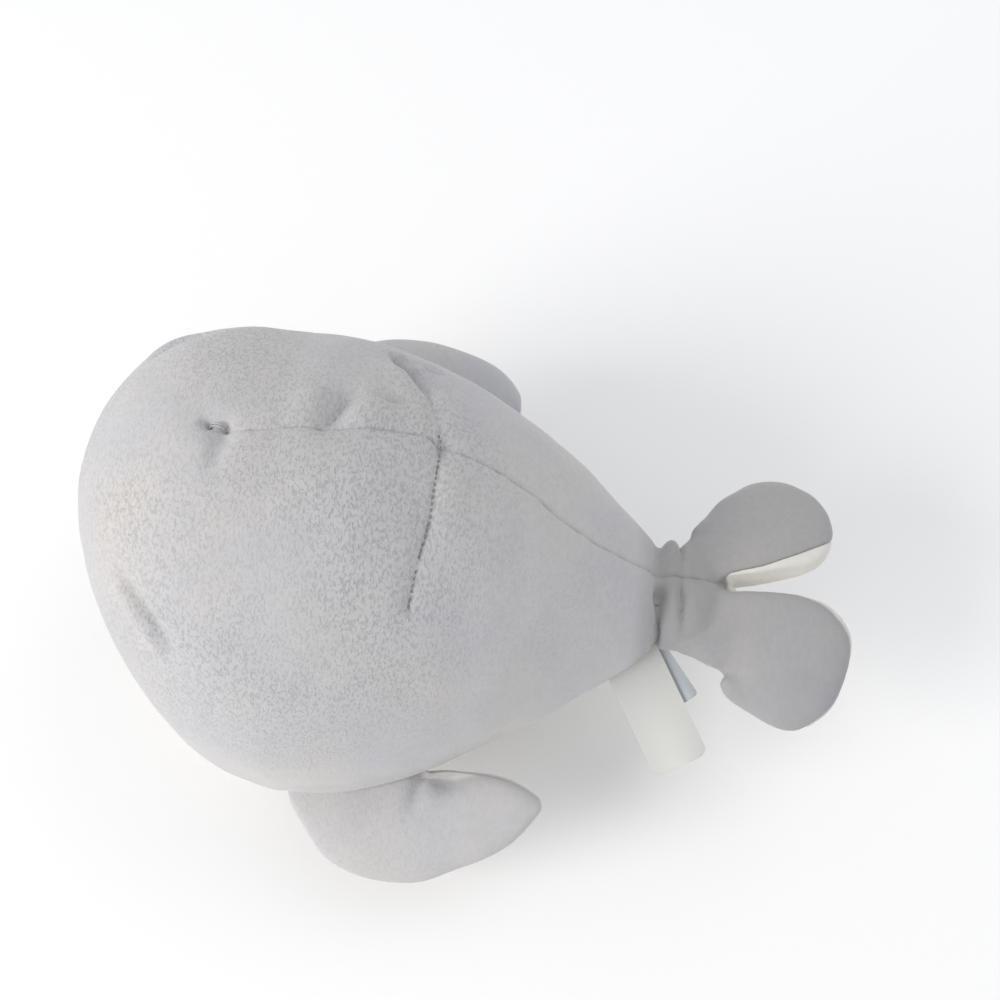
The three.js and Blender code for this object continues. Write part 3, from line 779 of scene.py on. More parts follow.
def dart_lift(p):
    """The cross darts, the right one with a deep pit toward its end."""
    d, at = path_distance(p, skin_path(LEFT_DART))
    lift = -groove(d, LEFT_DART_CREASE, LEFT_DART_VALLEY) * fade(LEFT_END_SHARES, at)
    d, at = path_distance(p, skin_path(RIGHT_DART))
    depth, width = RIGHT_DART_PIT
    pit = depth * crease(d, width) * smoothstep(*PIT_SHARES, at)
    end = fade(RIGHT_END_SHARES, at)
    return lift - (groove(d, RIGHT_DART_CREASE, RIGHT_DART_VALLEY) + pit) * end


def fold_lift(p):
    """The gathers right of the back seam, the fold at the blowhole and the dents over the eyes."""
    d, at = path_distance(p, skin_path(SEAM_PUCKER))
    gathered = sum(strength * bump(at - middle, width) for strength, middle, width in GATHER_SHARES)
    lift = -groove(d, PUCKER_CREASE, PUCKER_VALLEY) * gathered
    d, at = path_distance(p, skin_path(BLOWHOLE_FOLD))
    lift -= swell(d, BLOWHOLE_VALLEY) * fade(FADE_SHARES, at)
    # Each dent has a fine ridge outside it
    end_share, ahead, outward = 0.02, 2.2, 5.0
    for line, sign, dent in BROWS:
        d, at = path_distance(p, skin_path(line))
        lift -= swell(d, dent) * midway(at, end_share) ** 0.7
        d, at = path_distance(p, skin_path([(x - ahead, a + sign * outward) for x, a in line]))
        lift += swell(d, BROW_RIDGE) * midway(at, end_share)
    return lift


def root_lift(p):
    """The flank rolls over each flipper's root."""
    lift = np.zeros(len(p))
    for side in SIGN:
        d, at = path_distance(p, root_line(side, ROLL_ABOVE))
        lift += swell(d, ROOT_ROLL) * midway(at, 0.05) ** 0.5
        d, at = path_distance(p, root_line(side, 0.0))
        lift -= swell(d, ROOT_VALLEY)
    return lift


# Tucks round the tail: place, lean, then (depth, width before, width behind) on the left and the right
FIRST_TUCK = (TAIL_LENGTH + 1.2, 0.3, (6.6, 0.9, 3.4), (3.2, 0.9, 2.0))
SECOND_TUCK = (TAIL_LENGTH + 9.9, -0.5, (3.3, 1.2, 3.0), (3.2, 1.4, 1.4))
# Swells between the two on the left and the right, and over the first one, as (height, width)
BETWEEN_TUCKS, BETWEEN_LEFT, BETWEEN_RIGHT = TAIL_LENGTH + 6.0, (0.6, 2.6), (0.9, 2.6)
TAIL_BULGE, BULGE_AHEAD = (1.1, 5.0), 6.0
# Where these lie round the tail, in degrees from its top, as (start, full) or as (middle, width)
LEFT_TUCK_TURN, RIGHT_TUCK_TURN, UNDER_TURN = (6, 22), (38, 70), (150, 178)
LEFT_FOLD_TURN, RIGHT_FOLD_TURN, BULGE_TURN = (-32, 25), (66, 38), (-80, 50)


def tail_lift(p):
    """The deep tuck round the tail, softer on top and on the right, and the fold behind it."""
    turn = tail_turn(p)

    def beyond(way, zone):
        return smoothstep(*zone, way) * (1 - smoothstep(*UNDER_TURN, way) * 0.5)

    def about(middle, width):
        return bump(turn - middle, width)

    def tuck(shape, left, right):
        place, lean, left_tuck, right_tuck = shape
        d = p[:, 0] - (place + lean * np.sin(np.radians(turn)))
        lift = np.zeros(len(p))
        for (depth, before, behind), there in ((left_tuck, left), (right_tuck, right)):
            lift -= depth * overhang(d, before, behind) * there
        return d, lift

    first, lift = tuck(FIRST_TUCK, beyond(-turn, LEFT_TUCK_TURN), beyond(turn, RIGHT_TUCK_TURN))
    left, right = about(*LEFT_FOLD_TURN), about(*RIGHT_FOLD_TURN)
    lift += tuck(SECOND_TUCK, left, right)[1]
    between = p[:, 0] - BETWEEN_TUCKS
    lift += swell(between, BETWEEN_LEFT) * left + swell(between, BETWEEN_RIGHT) * right
    # The tail bulges over its deep tuck on the left
    return lift + swell(first + BULGE_AHEAD, TAIL_BULGE) * about(*BULGE_TURN)


def sculpt_skin(p, n):
    """Seams, darts, tucks and soft dents of the sewn skin, as a height along the normal."""
    lift = seam_lift(p, n) + dart_lift(p) + fold_lift(p) + root_lift(p) + tail_lift(p)
    for x, degrees, height, width in SPOTS:
        lift += height * spot(p, x, degrees, width)
    # Filling pulls in between the darts
    depth, width = FILL_PULL
    lift -= depth * spot(p, 43.0, -5.0, width, (1.0, 0.55, 1.0))
    # The right flank is filled a little fuller than the left
    turn = np.degrees(np.arctan2(p[:, 1], p[:, 2] - WAIST_HEIGHT))
    right = smoothstep(15, 55, turn) * smoothstep(-0.5, 0.1, n[:, 2]) * (p[:, 1] > 0)
    lift += swell(p[:, 0] - FLANK_MIDDLE, FLANK_SWELL) * right
    # The flat rest on the belly keeps its place
    return lift * smoothstep(*LIFT_ZONE, p[:, 2])


# A pleat where the left lobe's front corner meets the neck, from one point to the other
PLEAT, PLEAT_VALLEY = ((15.5, -31.0, 3.0), (25.0, -37.5, 8.0)), (1.0, 2.4)
# A swell beside it, and a hollow in each lobe where it leaves the neck
LOBE_SPOTS = [((17.0, -37.0, 1.5), (0.4, 5.0))]
LOBE_SPOTS += [((25.0, sign * 14.0, 8.0), (-0.7, 7.0)) for sign in SIGN.values()]


def fluke_sculpt(local):
    """The lobes' own tucks, in the fluke's flat frame."""
    d, at = path_distance(local, np.linspace(*PLEAT, 8))
    lift = -swell(d, PLEAT_VALLEY) * fade(FADE_SHARES, at)
    for place, shape in LOBE_SPOTS:
        lift += swell(np.linalg.norm(local - place, axis=1), shape)
    return lift


def crumple(p, height, scale, seed, waves=14):
    """A gentle unevenness of the filling, from a few sine waves."""
    rng = np.random.default_rng(seed)
    total = np.zeros(len(p))
    for _ in range(waves):
        way = unit(rng.normal(size=3))
        length = scale * rng.uniform(0.7, 1.7)
        total += np.sin(p @ way * 2 * pi / length + rng.uniform(0, 2 * pi))
    return height * (total / waves ** 0.5)


def whale_form():
    """The closed stuffed skin, with seams cut as edge loops and everything sculpted."""
    body = body_form()
    parts = [blade_form(), neck_form()]
    for part in parts:
        set_coords(part, place_fluke(coords(part)))
    skin = join_forms([body, *parts])
    # The lobes' thin edge is held while the rest is smoothed
    p = coords(skin)
    held_share, edge_half, lobes_start, rounds = 0.7, 2.0, TAIL_LENGTH + 14, 7
    on_edge = (np.abs(fluke_local(p)[:, 2]) < edge_half) * (p[:, 0] > lobes_start)
    relax(skin, rounds, 1.0 - held_share * on_edge)
    set_coords(skin, snap_to_body(coords(skin)))
    slice_field(skin, back_side, BACK_LEVELS)
    slice_field(skin, low_seam, LOW_LEVELS)
    p = coords(skin)
    n = normals(skin)
    resting = smoothstep(*REST_ZONE, p[:, 2])
    lift = sculpt_skin(p, n)
    lift += fluke_sculpt(fluke_local(p)) * smoothstep(TAIL_LENGTH + 8, TAIL_LENGTH + 14, p[:, 0])
    lift += sum(crumple(p, *shape) for shape in BODY_CRUMPLES) * (1 - resting)
    q = p + n * lift[:, None]
    q[:, 2] = np.maximum(q[:, 2], 0.0)
    q[:, 1] += head_turn(p[:, 0])
    # The end of the tail sits a little to the left
    x = p[:, 0]
    q[:, 1] -= TAIL_SHIFT * smoothstep(*SHIFT_ZONE, x) * fade(SHIFT_END_ZONE, x)
    set_coords(skin, q)
    mend_folds(skin)
    return skin, p


def whale_panels():
    """The skin parted along its seams into left, right and belly panels."""
    skin, flat = whale_form()
    centre = face_means(skin.data, flat)
    kinds = np.where(low_seam(centre) < 0, 2, np.where(back_side(centre) > 0, 1, 0))
    return part_mesh(skin, kinds, ("left_side_skin", "right_side_skin", "belly_skin"))


# Flippers


def seat_reach(x, side):
    """How far out the body's side lies along the flipper's plane."""
    _, seat_across, seat_height = FLIPPER_SEAT[side]
    girth, level = station(np.asarray(x, float))
    low, high = -HALF_WIDTH, HALF_WIDTH
    droop = radians(FLIPPER_DROOP)
    for _ in range(40):
        reach = (low + high) / 2
        y = seat_across + reach * cos(droop) - SIGN[side] * float(head_turn(x))
        z = seat_height - reach * sin(droop) - float(level)
        across = (abs(y) / (HALF_WIDTH * float(girth))) ** BELLY_POWER
        below = (abs(z) / (BELLY_FALL * float(girth))) ** BELLY_POWER
        if across + below < 1:
            low = reach
        else:
            high = reach
    return low + CLEARANCE + FLIPPER_ROOT_RADIUS


# Edges as shares of the flipper's sweep and reach
LEAD_START_SHARES = [(0, 0), (0.01, 0.19), (0.10, 0.56), (0.19, 0.83), (0.33, 0.98), (0.47, 1)]
FLIPPER_LEAD_SHARES = {
    "left": [*LEAD_START_SHARES, (0.62, 0.89), (0.86, 0.53), (0.99, 0.13), (1, 0)],
    "right": [*LEAD_START_SHARES, (0.64, 0.93), (0.86, 0.66), (0.985, 0.28), (1, 0)],
}
FLIPPER_TRAIL_SHARES = [(0.66, -0.31), (0.86, -0.26), (0.98, -0.10), (1, 0)]
# The flipper is at its full thickness well beyond this distance from its root
SWELL_DISTANCE = 9.0
# Folds that fan out from the rear of the root, and the ridge and the hollow beside them, as places
# behind the root's front and out from the root
FLIPPER_FOLDS = [[(47, -2), (46, 6), (43, 15)], [(50, 0), (56, 5), (66, 9)]]
RIDGE_PLACE, HOLLOW_PLACE, HOLLOW_SQUASH_SHARE = (51, 9), (60, 2), 1.3


def even_path(points, count):
    """Count points evenly spaced along a smooth path."""
    path = smooth_path(points, 24)
    reach = path_reach(path)
    at = np.linspace(0, reach[-1], count)
    return np.stack([np.interp(at, reach, path[:, k]) for k in range(3)], axis=-1)


def root_end(x, side):
    """Where the flipper's root lies at x, in the flipper's flat frame."""
    return np.array([x, seat_reach(x, side) - ROOT_SINK, 0])


def flipper_form(side, root, root_y):
    """The flat flipper as a closed loft from inside the flank to its edge."""
    first, sweep = FLIPPER_SEAT[side][0], FLIPPER_SWEEP[side]
    front, rear = root_end(first, side), root_end(first + FLIPPER_ROOT_LENGTH, side)

    def edge(start, shares):
        place = [(first + x * sweep, y * FLIPPER_REACH, 0) for x, y in shares]
        return even_path([start, *place], EDGE_POINTS)

    lead, trail = edge(front, FLIPPER_LEAD_SHARES[side]), edge(rear, FLIPPER_TRAIL_SHARES)
    turn = ring_angles(FLIPPER_SIDES)
    across = (1 - np.cos(turn)) / 2
    lens = -signed_power(np.sin(turn), LENS_POWER)
    least_share, swell_power = 0.12, 1.5

    def ring(s, inward):
        k = int(round(s * (EDGE_POINTS - 1)))
        p = lead[k] + (trail[k] - lead[k]) * across[:, None]
        chord = front + (rear - front) * across[:, None]
        bulge = np.interp(chord[:, 0], root, root_y) - chord[:, 1]
        p[:, 1] += bulge * (1 - s) ** 2 - inward
        base = np.interp(p[:, 0], root, root_y)
        if s > 0:
            p[:, 1] = np.maximum(p[:, 1], base + s * least_share * FLIPPER_REACH)
        # It thickens with the distance from its root
        out = np.maximum(p[:, 1] - base, 0)
        full = 1 - np.exp(-((out / SWELL_DISTANCE) ** swell_power))
        height = FLIPPER_ROOT_RADIUS + (FLIPPER_HALF_THICKNESS - FLIPPER_ROOT_RADIUS) * full
        p[:, 2] = height * max(1 - s ** 4, 0) ** 0.5 * lens
        return p

    # The root runs on into the flank, where it is sewn
    last_tuck, tip_share = 0.8, 0.995
    rings = [ring(0, inward) for inward in np.linspace(ROOT_TUCK, last_tuck, TUCK_ROWS)]
    rings += [ring(1 - (1 - t) ** 1.6, 0) for t in np.linspace(0, tip_share, FLIPPER_ROWS)]
    return closed_loft(side + "_flipper_skin", rings)


def flipper_lift(p, side, base):
    """The edge seam, the folds at the root's rear and the filling's unevenness."""
    lift = -groove(p[:, 2], FLIPPER_CREASE, FLIPPER_VALLEY)
    place = np.stack([p[:, 0] - FLIPPER_SEAT[side][0], p[:, 1] - base], axis=-1)
    top = smoothstep(0.5, 3.0, p[:, 2])
    for fold in FLIPPER_FOLDS:
        d, at = path_distance(place, smooth_path(fold))
        lift -= swell(d, FLIPPER_FOLD) * fade(FOLD_END_SHARES, at) * top
    x, y = (place - RIDGE_PLACE).T
    lift += swell(np.hypot(x, y), FLIPPER_RIDGE) * top
    x, y = (place - HOLLOW_PLACE).T
    lift -= swell(np.hypot(x, y * HOLLOW_SQUASH_SHARE), FLIPPER_HOLLOW) * top
    return lift + crumple(p, *FLIPPER_CRUMPLE[side])


def place_flipper(q, side):
    """Raises the flat flipper about its root, lets it droop and sets it on the flank."""
    first, seat_across, seat_height = FLIPPER_SEAT[side]
    last = first + FLIPPER_ROOT_LENGTH
    middle = (first + last) / 2
    hinge = np.array([middle, seat_reach(middle, side), 0])
    axis = Vector(root_end(last, side) - root_end(first, side)).normalized()
    raised = np.array(Matrix.Rotation(radians(FLIPPER_RAISE[side]), 3, axis))
    drooped = np.array(Matrix.Rotation(radians(-FLIPPER_DROOP), 3, "X"))
    q = (q - hinge) @ raised.T + hinge
    return (q @ drooped.T + [0, seat_across, seat_height]) * [1, SIGN[side], 1]


def flipper_panels(side):
    """One flipper's top and bottom skins, parted at the seam round its edge."""
    before_root = 8
    first = FLIPPER_SEAT[side][0]
    root = np.linspace(first - before_root, first + FLIPPER_SWEEP[side], 60)
    root_y = np.array([seat_reach(x, side) for x in root]) - ROOT_SINK
    skin = flipper_form(side, root, root_y)
    subdivide(skin)
    slice_field(skin, lambda p: p[:, 2], FLIPPER_LEVELS)
    p = coords(skin)
    lift = flipper_lift(p, side, np.interp(p[:, 0], root, root_y))
    q = place_flipper(p + normals(skin) * lift[:, None], side)
    if side == "left":
        edit_mesh(skin.data, turn_faces)
    set_coords(skin, q)
    mend_folds(skin)
    low = face_means(skin.data, p)[:, 2] <= 0
    return part_mesh(skin, low, [side + name for name in ("_flipper_top_skin", "_flipper_bottom_skin")])


# Small trim
STITCH_PITCH, STITCH_LENGTH, STITCH_DEPTH = 2.3, 1.5, 1.9
EYE_SHARE, EYE_ANGLE, EYE_RADIUS, EYE_THREAD = 0.785, 116.0, 4.6, 0.27
EYE_STITCHES, EYE_EDGE_SHARE, EYE_BASE, EYE_RISE = 23, 0.94, 0.15, 1.15
LABEL_CUP, LABEL_CURL = 0.5, 1.2


def frame_on_skin(x, degrees):
    """Point, outward normal and lengthwise direction on the turned skin."""
    step = 0.5
    p = skin_point(x, degrees)
    along = skin_point(x + step, degrees) - skin_point(x - step, degrees)
    around = skin_point(x, degrees + step) - skin_point(x, degrees - step)
    return p, unit(np.cross(along, around)), unit(along)


def tube(points, radius, sides=8, end_share=0.35):
    """Verts and faces of a tube with narrowed ends along points."""
    points = np.asarray(points, float)
    count = len(points)
    way = unit(np.gradient(points, axis=0))
    side = unit(np.cross(way, [0.13, 0.21, 0.97]))
    up = np.cross(side, way)
    turn = ring_angles(sides)[:, None]
    width = np.full((count, 1, 1), radius)
    width[[0, -1]] *= end_share
    rings = points[:, None] + width * (np.cos(turn) * side[:, None] + np.sin(turn) * up[:, None])
    return [*rings.reshape(-1, 3), points[0], points[-1]], capped_faces(count, sides)


def many_tubes(name, routes, radius):
    """One object of many short threads."""
    verts, faces = [], []
    for route in routes:
        v, f = tube(route, radius)
        faces += [tuple(i + len(verts) for i in face) for face in f]
        verts += v
    obj = build_mesh(name, verts, faces)
    edit_mesh(obj.data, face_outward)
    return obj


def line_stitches(name, line, radius, shown_share, fade_share=0.0):
    """Short stitches along a line of (x, degrees) pairs, lying in its groove."""
    dip_share = 1.2
    table = smooth_path(line, 20)
    reach = path_reach(np.array([skin_point(x, d) for x, d in table]))
    routes = []
    for at in np.arange(STITCH_PITCH / 2, reach[-1] * shown_share - STITCH_LENGTH / 2, STITCH_PITCH):
        points = []
        for k in np.linspace(-0.5, 0.5, 5):
            x, d = [np.interp(at + k * STITCH_LENGTH, reach, column) for column in table.T]
            p, n, _ = frame_on_skin(x, d)
            deep = STITCH_DEPTH * (1 - fade_share * smoothstep(0.8, 1.0, at / reach[-1]))
            points.append(p - n * (deep + dip_share * radius * (2 * k) ** 2))
        routes.append(points)
    return many_tubes(name, routes, radius)


def tack_thread():
    """Two turns of thread between the blowhole's needle holes."""
    (x0, d0), (x1, d1) = NEEDLE_HOLES
    apart, middle_depth, end_dip, radius = 0.35, 1.45, 3.6, 0.2
    routes = []
    for shift in (-apart, apart):
        points = []
        for t in np.linspace(0, 1, 13):
            p, n, _ = frame_on_skin(x0 + (x1 - x0) * t, d0 + (d1 - d0) * t + shift)
            points.append(p - n * (middle_depth + end_dip * (2 * t - 1) ** 4))
        routes.append(points)
    return many_tubes("blowhole_tack_thread", routes, radius)


def eye(side):
    """A disc of satin stitches low on the front of the head."""
    p, n, along = frame_on_skin(-HEAD_LENGTH * EYE_SHARE, EYE_ANGLE * SIGN[side])
    across = np.cross(n, along)
    routes = []
    for k in np.linspace(-EYE_EDGE_SHARE, EYE_EDGE_SHARE, EYE_STITCHES):
        half = EYE_RADIUS * (1 - k * k) ** 0.5
        points = []
        for t in np.linspace(-1, 1, 9):
            height = EYE_BASE + EYE_RISE * (1 - k * k) * (1 - t * t) ** 0.5
            points.append(p + along * half * t + across * EYE_RADIUS * k + n * height)
        routes.append(points)
    return many_tubes(side + "_eye_stitches", routes, EYE_THREAD)


def label(name, x, lean, width, length, behind, corner, tuck=4.0):
    """A limp ribbon that leaves the skin low on the left of the tail and leans back."""
    lean, fall = radians(lean), radians(FLIPPER_DROOP)
    root = body_point(x, radians(-(90 + FLIPPER_DROOP)))
    across = np.array([cos(lean), sin(lean)])
    down = np.array([sin(lean), -cos(lean)])
    verts = []
    for v in np.arange(LABEL_ROWS) / (LABEL_ROWS - 1):
        reach = v * (length + tuck) - tuck
        near_end = max(0.0, corner - (length - reach))
        trim = corner - max(corner ** 2 - near_end ** 2, 0) ** 0.5
        for u in 2 * np.arange(LABEL_COLS) / (LABEL_COLS - 1) - 1:
            # The ribbon is a little cupped, and its end curls
            curl = LABEL_CUP * sin(v * pi * 0.9) * u * u + LABEL_CURL * v ** 2 * sin(2.2 * u + 0.6) - behind
            x, y = across * u * (width / 2 - trim) + down * reach
            verts.append((x, y * cos(fall) - curl * sin(fall), y * sin(fall) + curl * cos(fall)))
    obj = build_mesh(name, np.array(verts) + root, grid_faces(LABEL_ROWS, LABEL_COLS, closed=False))
    subdivide(obj)
    return obj


# Materials. Noise scales are per metre, and bump distances are metres


def srgb(r, g, b):
    def linear(c):
        c /= 255
        return c / 12.92 if c <= 0.04045 else ((c + 0.055) / 1.055) ** 2.4
    return (linear(r), linear(g), linear(b), 1.0)


class Nodes:
    """Short ways to build the nodes of a material or of the world."""

    def __init__(self, owner, shader="Principled BSDF"):
        owner.use_nodes = True
        self.owner = owner
        self.tree = owner.node_tree
        self.shader = self.tree.nodes[shader]

    def set(self, settings):
        for key, value in settings.items():
            self.put(value, self.shader.inputs[key])

    def add(self, kind, **settings):
        node = self.tree.nodes.new(kind)
        for key, value in settings.items():
            if key in node.inputs:
                self.put(value, node.inputs[key])
            else:
                setattr(node, key, value)
        return node

    def put(self, value, socket):
        """Gives a socket a value, or links it to another node's output."""
        if hasattr(value, "is_linked"):
            self.tree.links.new(value, socket)
        else:
            socket.default_value = value

    def place(self):
        return self.add("ShaderNodeTexCoord").outputs["Object"]

    def math(self, operation, a, b):
        node = self.add("ShaderNodeMath", operation=operation)
        for socket, value in zip(node.inputs, (a, b)):
            self.put(value, socket)
        return node.outputs[0]

    def noise(self, vector, scale, detail=2.0, roughness=0.5, distortion=0.0):
        node = self.add("ShaderNodeTexNoise", Vector=vector, Scale=scale, Detail=detail,
                        Roughness=roughness, Distortion=distortion)
        return node.outputs["Fac"]

    def ramp(self, fac, stops):
        node = self.add("ShaderNodeValToRGB", Fac=fac)
        ramp = node.color_ramp
        while len(ramp.elements) < len(stops):
            ramp.elements.new(0.5)
        for element, (place, value) in zip(ramp.elements, stops):
            element.position = place
            element.color = (value, value, value, 1)
        return node.outputs["Color"]

    def mix(self, fac, a, b, blend="MIX"):
        node = self.add("ShaderNodeMix", data_type="RGBA", blend_type=blend)
        for number, value in ((0, fac), (6, a), (7, b)):
            self.put(value, node.inputs[number])
        return node.outputs[2]

    def multiply(self, a, b):
        return self.mix(1.0, a, b, "MULTIPLY")

    def bump(self, height, distance, strength, **normal):
        node = self.add("ShaderNodeBump", Height=height, Distance=distance, Strength=strength, **normal)
        return node.outputs["Normal"]


def material_nodes(name):
    return Nodes(bpy.data.materials.new(name))


def plush(name, colour, deep, crinkle, fluke_nap_and_shade):
    """Short-pile plush: a maze of parted pile, soft brushed patches, a faint sheen, and painted shade behind
    the tail.
    """
    m = material_nodes(name)
    at = m.place()
    split = m.add("ShaderNodeSeparateXYZ", Vector=at)
    stretched = m.add("ShaderNodeMapping", Scale=(1.0, 0.62, 0.9), Vector=at).outputs["Vector"]
    maze = m.noise(stretched, 1050.0, 2.0, 0.55, 0.5)
    tuft = m.ramp(maze, [(0.34, 0.0), (0.52, 1.0)])
    nap = m.noise(stretched, 520.0, 3.0, 0.6)
    fibre = m.noise(at, 2400.0, 2.0, 0.6)
    brushed = m.noise(at, 22.0, 2.0, 0.5, 0.4)
    # The pile is parted on the back, and lies smooth on the flanks, the tail and the limbs
    patch = m.ramp(m.noise(at, 19.0, 1.0), [(0.35, 0.45), (0.58, 1.0)])
    high = m.ramp(split.outputs["Z"], [(0.07, 0.3), (0.13, 1.0)])
    front = m.ramp(split.outputs["X"], [(0.045, 1.0), (0.08, 0.4)])
    where = m.math("MULTIPLY", m.math("MULTIPLY", patch, high), front)
    gap = m.math("MULTIPLY", m.math("SUBTRACT", 1.0, tuft), where)
    shade = m.ramp(gap, [(0.0, 1.0), (1.0, 0.80)])
    tone = m.mix(m.ramp(brushed, [(0.3, 0.0), (0.7, 1.0)]), deep, colour)
    tone = m.mix(crinkle, tone, shade, "MULTIPLY")
    tone = m.multiply(tone, m.ramp(nap, [(0.25, 0.95), (0.75, 1.03)]))
    # Behind the tail the colour is dimmed, partly for the pile lying the other way and partly as painted
    # shade; the dip at the neck is painted shade in its folds
    neck = [(0.118, 1.0), (0.128, 0.90 * fluke_nap_and_shade), (0.14, 0.93 * fluke_nap_and_shade), (0.152, fluke_nap_and_shade)]
    tone = m.multiply(tone, m.ramp(split.outputs["X"], neck))
    height = m.math("ADD", m.math("MULTIPLY", tuft, where), m.math("MULTIPLY", nap, 0.4))
    normal = m.bump(height, 0.0003, 0.6 * crinkle)
    m.set({
        "Base Color": tone, "Normal": m.bump(fibre, 0.00012, 0.6, Normal=normal),
        "Roughness": m.ramp(nap, [(0.2, 0.86), (0.8, 0.98)]), "Specular IOR Level": 0.15,
        "Sheen Weight": 0.35, "Sheen Roughness": 0.45, "Sheen Tint": (1.0, 0.99, 0.98, 1.0),
    })
    return m.owner


def satin(name, colour):
    """Woven satin ribbon with a fine rib across it."""
    m = material_nodes(name)
    at = m.place()
    weave = m.noise(at, 2600.0, 1.0)
    rib = m.add("ShaderNodeTexWave", wave_type="BANDS", bands_direction="DIAGONAL", Scale=900.0,
                Distortion=0.4, Vector=at).outputs["Fac"]
    thread = m.math("ADD", m.math("MULTIPLY", rib, 0.6), m.math("MULTIPLY", weave, 0.4))
    m.set({
        "Base Color": m.multiply(colour, m.ramp(thread, [(0.2, 0.93), (0.8, 1.0)])),
        "Normal": m.bump(thread, 0.00008, 0.5), "Roughness": m.ramp(weave, [(0.2, 0.36), (0.8, 0.5)]),
        "Sheen Weight": 0.15, "Specular IOR Level": 0.4,
    })
    return m.owner


def thread_material(name, colour, rough=0.6):
    """Twisted sewing thread."""
    m = material_nodes(name)
    twist = m.noise(m.place(), 4200.0, 2.0, 0.6)
    m.set({
        "Base Color": m.multiply(colour, m.ramp(twist, [(0.3, 0.8), (0.7, 1.05)])),
        "Normal": m.bump(twist, 0.0001, 0.6), "Roughness": m.ramp(twist, [(0.3, rough), (0.7, rough + 0.12)]),
    })
    return m.owner


def paint(obj, material):
    obj.data.materials.clear()
    obj.data.materials.append(material)


def dress(obj, material, body, slot, *nodes):
    paint(obj, material)
    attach(obj, body)
    if nodes:
        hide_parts(*nodes)


# Stage, lights and camera. The lamps' places and sizes are in metres


def stage():
    """A pale floor in a soft white studio."""
    half = 3000.0
    corners = [(-half, -half, 0), (half, -half, 0), (half, half, 0), (-half, half, 0)]
    floor = build_mesh("floor", corners, [(0, 1, 2, 3)])
    m = material_nodes("pale_floor")
    m.set({"Base Color": (0.93, 0.93, 0.93, 1), "Roughness": 0.9, "Specular IOR Level": 0.1})
    paint(floor, m.owner)
    world = bpy.data.worlds.new("studio")
    bpy.context.scene.world = world
    w = Nodes(world, "Background")
    w.set({"Color": (0.97, 0.98, 1.0, 1), "Strength": 0.74})
    seen = w.add("ShaderNodeBackground", Color=(1, 1, 1, 1), Strength=1.0)
    path = w.add("ShaderNodeLightPath").outputs
    mix = w.add("ShaderNodeMixShader", Fac=w.math("MAXIMUM", path["Is Camera Ray"], path["Is Glossy Ray"]))
    w.put(w.shader.outputs[0], mix.inputs[1])
    w.put(seen.outputs[0], mix.inputs[2])
    w.put(mix.outputs[0], w.tree.nodes["World Output"].inputs["Surface"])


def lamp(name, place, size, power, colour):
    target = Vector((0, 0, 0.06))
    data = bpy.data.lights.new(name, "AREA")
    data.shape = "DISK"
    data.size = size
    data.energy = power
    data.color = colour
    obj = add_object(name, data)
    obj.location = place
    obj.rotation_euler = (target - Vector(place)).to_track_quat("-Z", "Y").to_euler()


def camera():
    el, roll = radians(CAMERA_ELEVATION), radians(CAMERA_ROLL)
    ahead = Vector((0, cos(el), -sin(el)))
    flat, rise = Vector((1, 0, 0)), Vector((0, sin(el), cos(el)))
    right = flat * cos(roll) + rise * sin(roll)
    up = rise * cos(roll) - flat * sin(roll)
    distance = CAMERA_DISTANCE * MM
    eye_at = Vector(CAMERA_AIM) * MM - ahead * distance
    eye_at -= right * ((AIM_SHARE[0] - 0.5) / FOCAL_SHARE * distance)
    eye_at += up * ((AIM_SHARE[1] - 0.5) / FOCAL_SHARE * distance)
    data = bpy.data.cameras.new("camera")
    data.sensor_fit = "HORIZONTAL"
    data.sensor_width = SENSOR
    data.lens = SENSOR * FOCAL_SHARE
    data.clip_start = 0.01
    obj = add_object("camera", data)
    turn = Matrix((right, up, -ahead)).transposed()
    obj.matrix_world = Matrix.Translation(eye_at) @ turn.to_4x4()
    bpy.context.scene.camera = obj


camera()
stage()
lamp("key", (-1.5, -0.95, 1.0), 1.2, 27.0, (1.0, 0.98, 0.95))
lamp("back_fill", (0.6, 0.5, 1.0), 1.1, 2.0, (0.95, 0.97, 1.0))
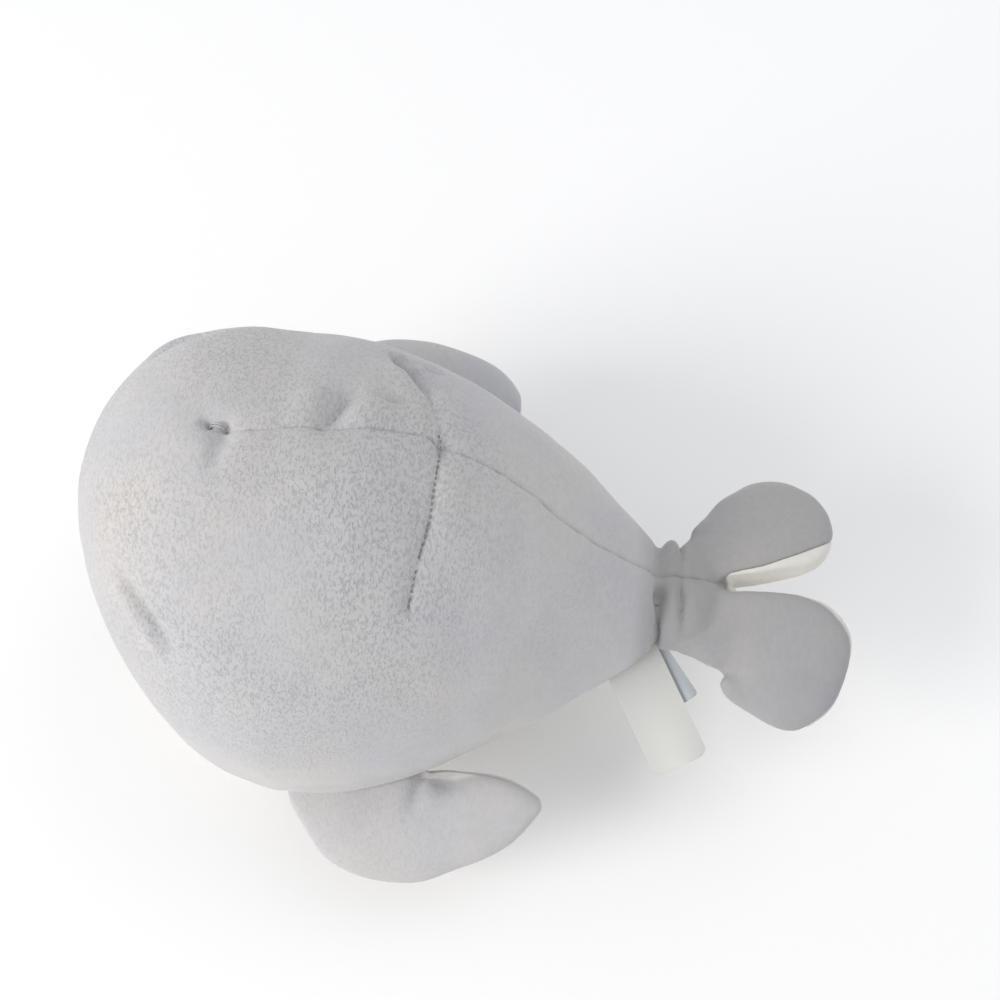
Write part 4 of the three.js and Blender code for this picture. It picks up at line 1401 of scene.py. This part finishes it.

# The fifth number dims the colour behind the tail: partly the pile lying the other way, partly painted shade
grey = plush("grey_plush", srgb(194, 191, 189), srgb(185, 185, 190), 1.0, 0.72)
cream = plush("cream_plush", srgb(222, 219, 213), srgb(214, 211, 204), 0.4, 1.0)
white_satin = satin("white_satin", srgb(208, 209, 205))
blue_satin = satin("blue_satin", srgb(184, 190, 195))
grey_thread = thread_material("grey_thread", srgb(138, 137, 142))
white_thread = thread_material("white_thread", srgb(192, 191, 192))
eye_thread = thread_material("eye_thread", srgb(34, 34, 40), 0.45)

replaced = {
    "left_side_skin": ("grey_plush", grey, ["left_side_panel", "fluke_top_panel_left"]),
    "right_side_skin": ("grey_plush", grey, ["right_side_panel", "fluke_top_panel_right"]),
    "belly_skin": ("cream_plush", cream,
                   ["belly_panel", "fluke_bottom_panel", "body_stuffing", "fluke_stuffing"]),
}
for name, panel in whale_panels().items():
    slot, material, nodes = replaced[name]
    paint(panel, material)
    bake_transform(panel)
    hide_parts(*nodes)

for side in SIGN:
    body = side + "_flipper"
    top, bottom = flipper_panels(side).values()
    parts = (
        (top, grey, "grey_plush", ["_top_panel", "_stuffing"]),
        (bottom, cream, "cream_plush", ["_bottom_panel"]),
    )
    for half, material, slot, nodes in parts:
        paint(half, material)
        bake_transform(half)
        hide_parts(*[body + node for node in nodes])
    dress(eye(side), eye_thread, "body", "eye_thread", side + "_eye")

care = label("care_ribbon", x=120.6, lean=30.0, width=21.0, length=43.0, behind=0.0, corner=2.4)
dress(care, white_satin, "body", "white_satin", "care_label")
small = label("size_ribbon", x=126.6, lean=38.5, width=10.0, length=25.0, behind=1.2, corner=0.8)
dress(small, blue_satin, "body", "blue_satin", "size_label")

dart = line_stitches("left_dart_stitches", LEFT_DART, radius=0.24, shown_share=0.97, fade_share=0.35)
dress(dart, grey_thread, "body", "grey_plush")
dart = line_stitches("right_dart_stitches", RIGHT_DART, radius=0.22, shown_share=0.9)
dress(dart, grey_thread, "body", "grey_plush")
dress(tack_thread(), white_thread, "body", "grey_plush")

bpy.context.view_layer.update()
scene = bpy.context.scene
scene.view_settings.view_transform = "Standard"
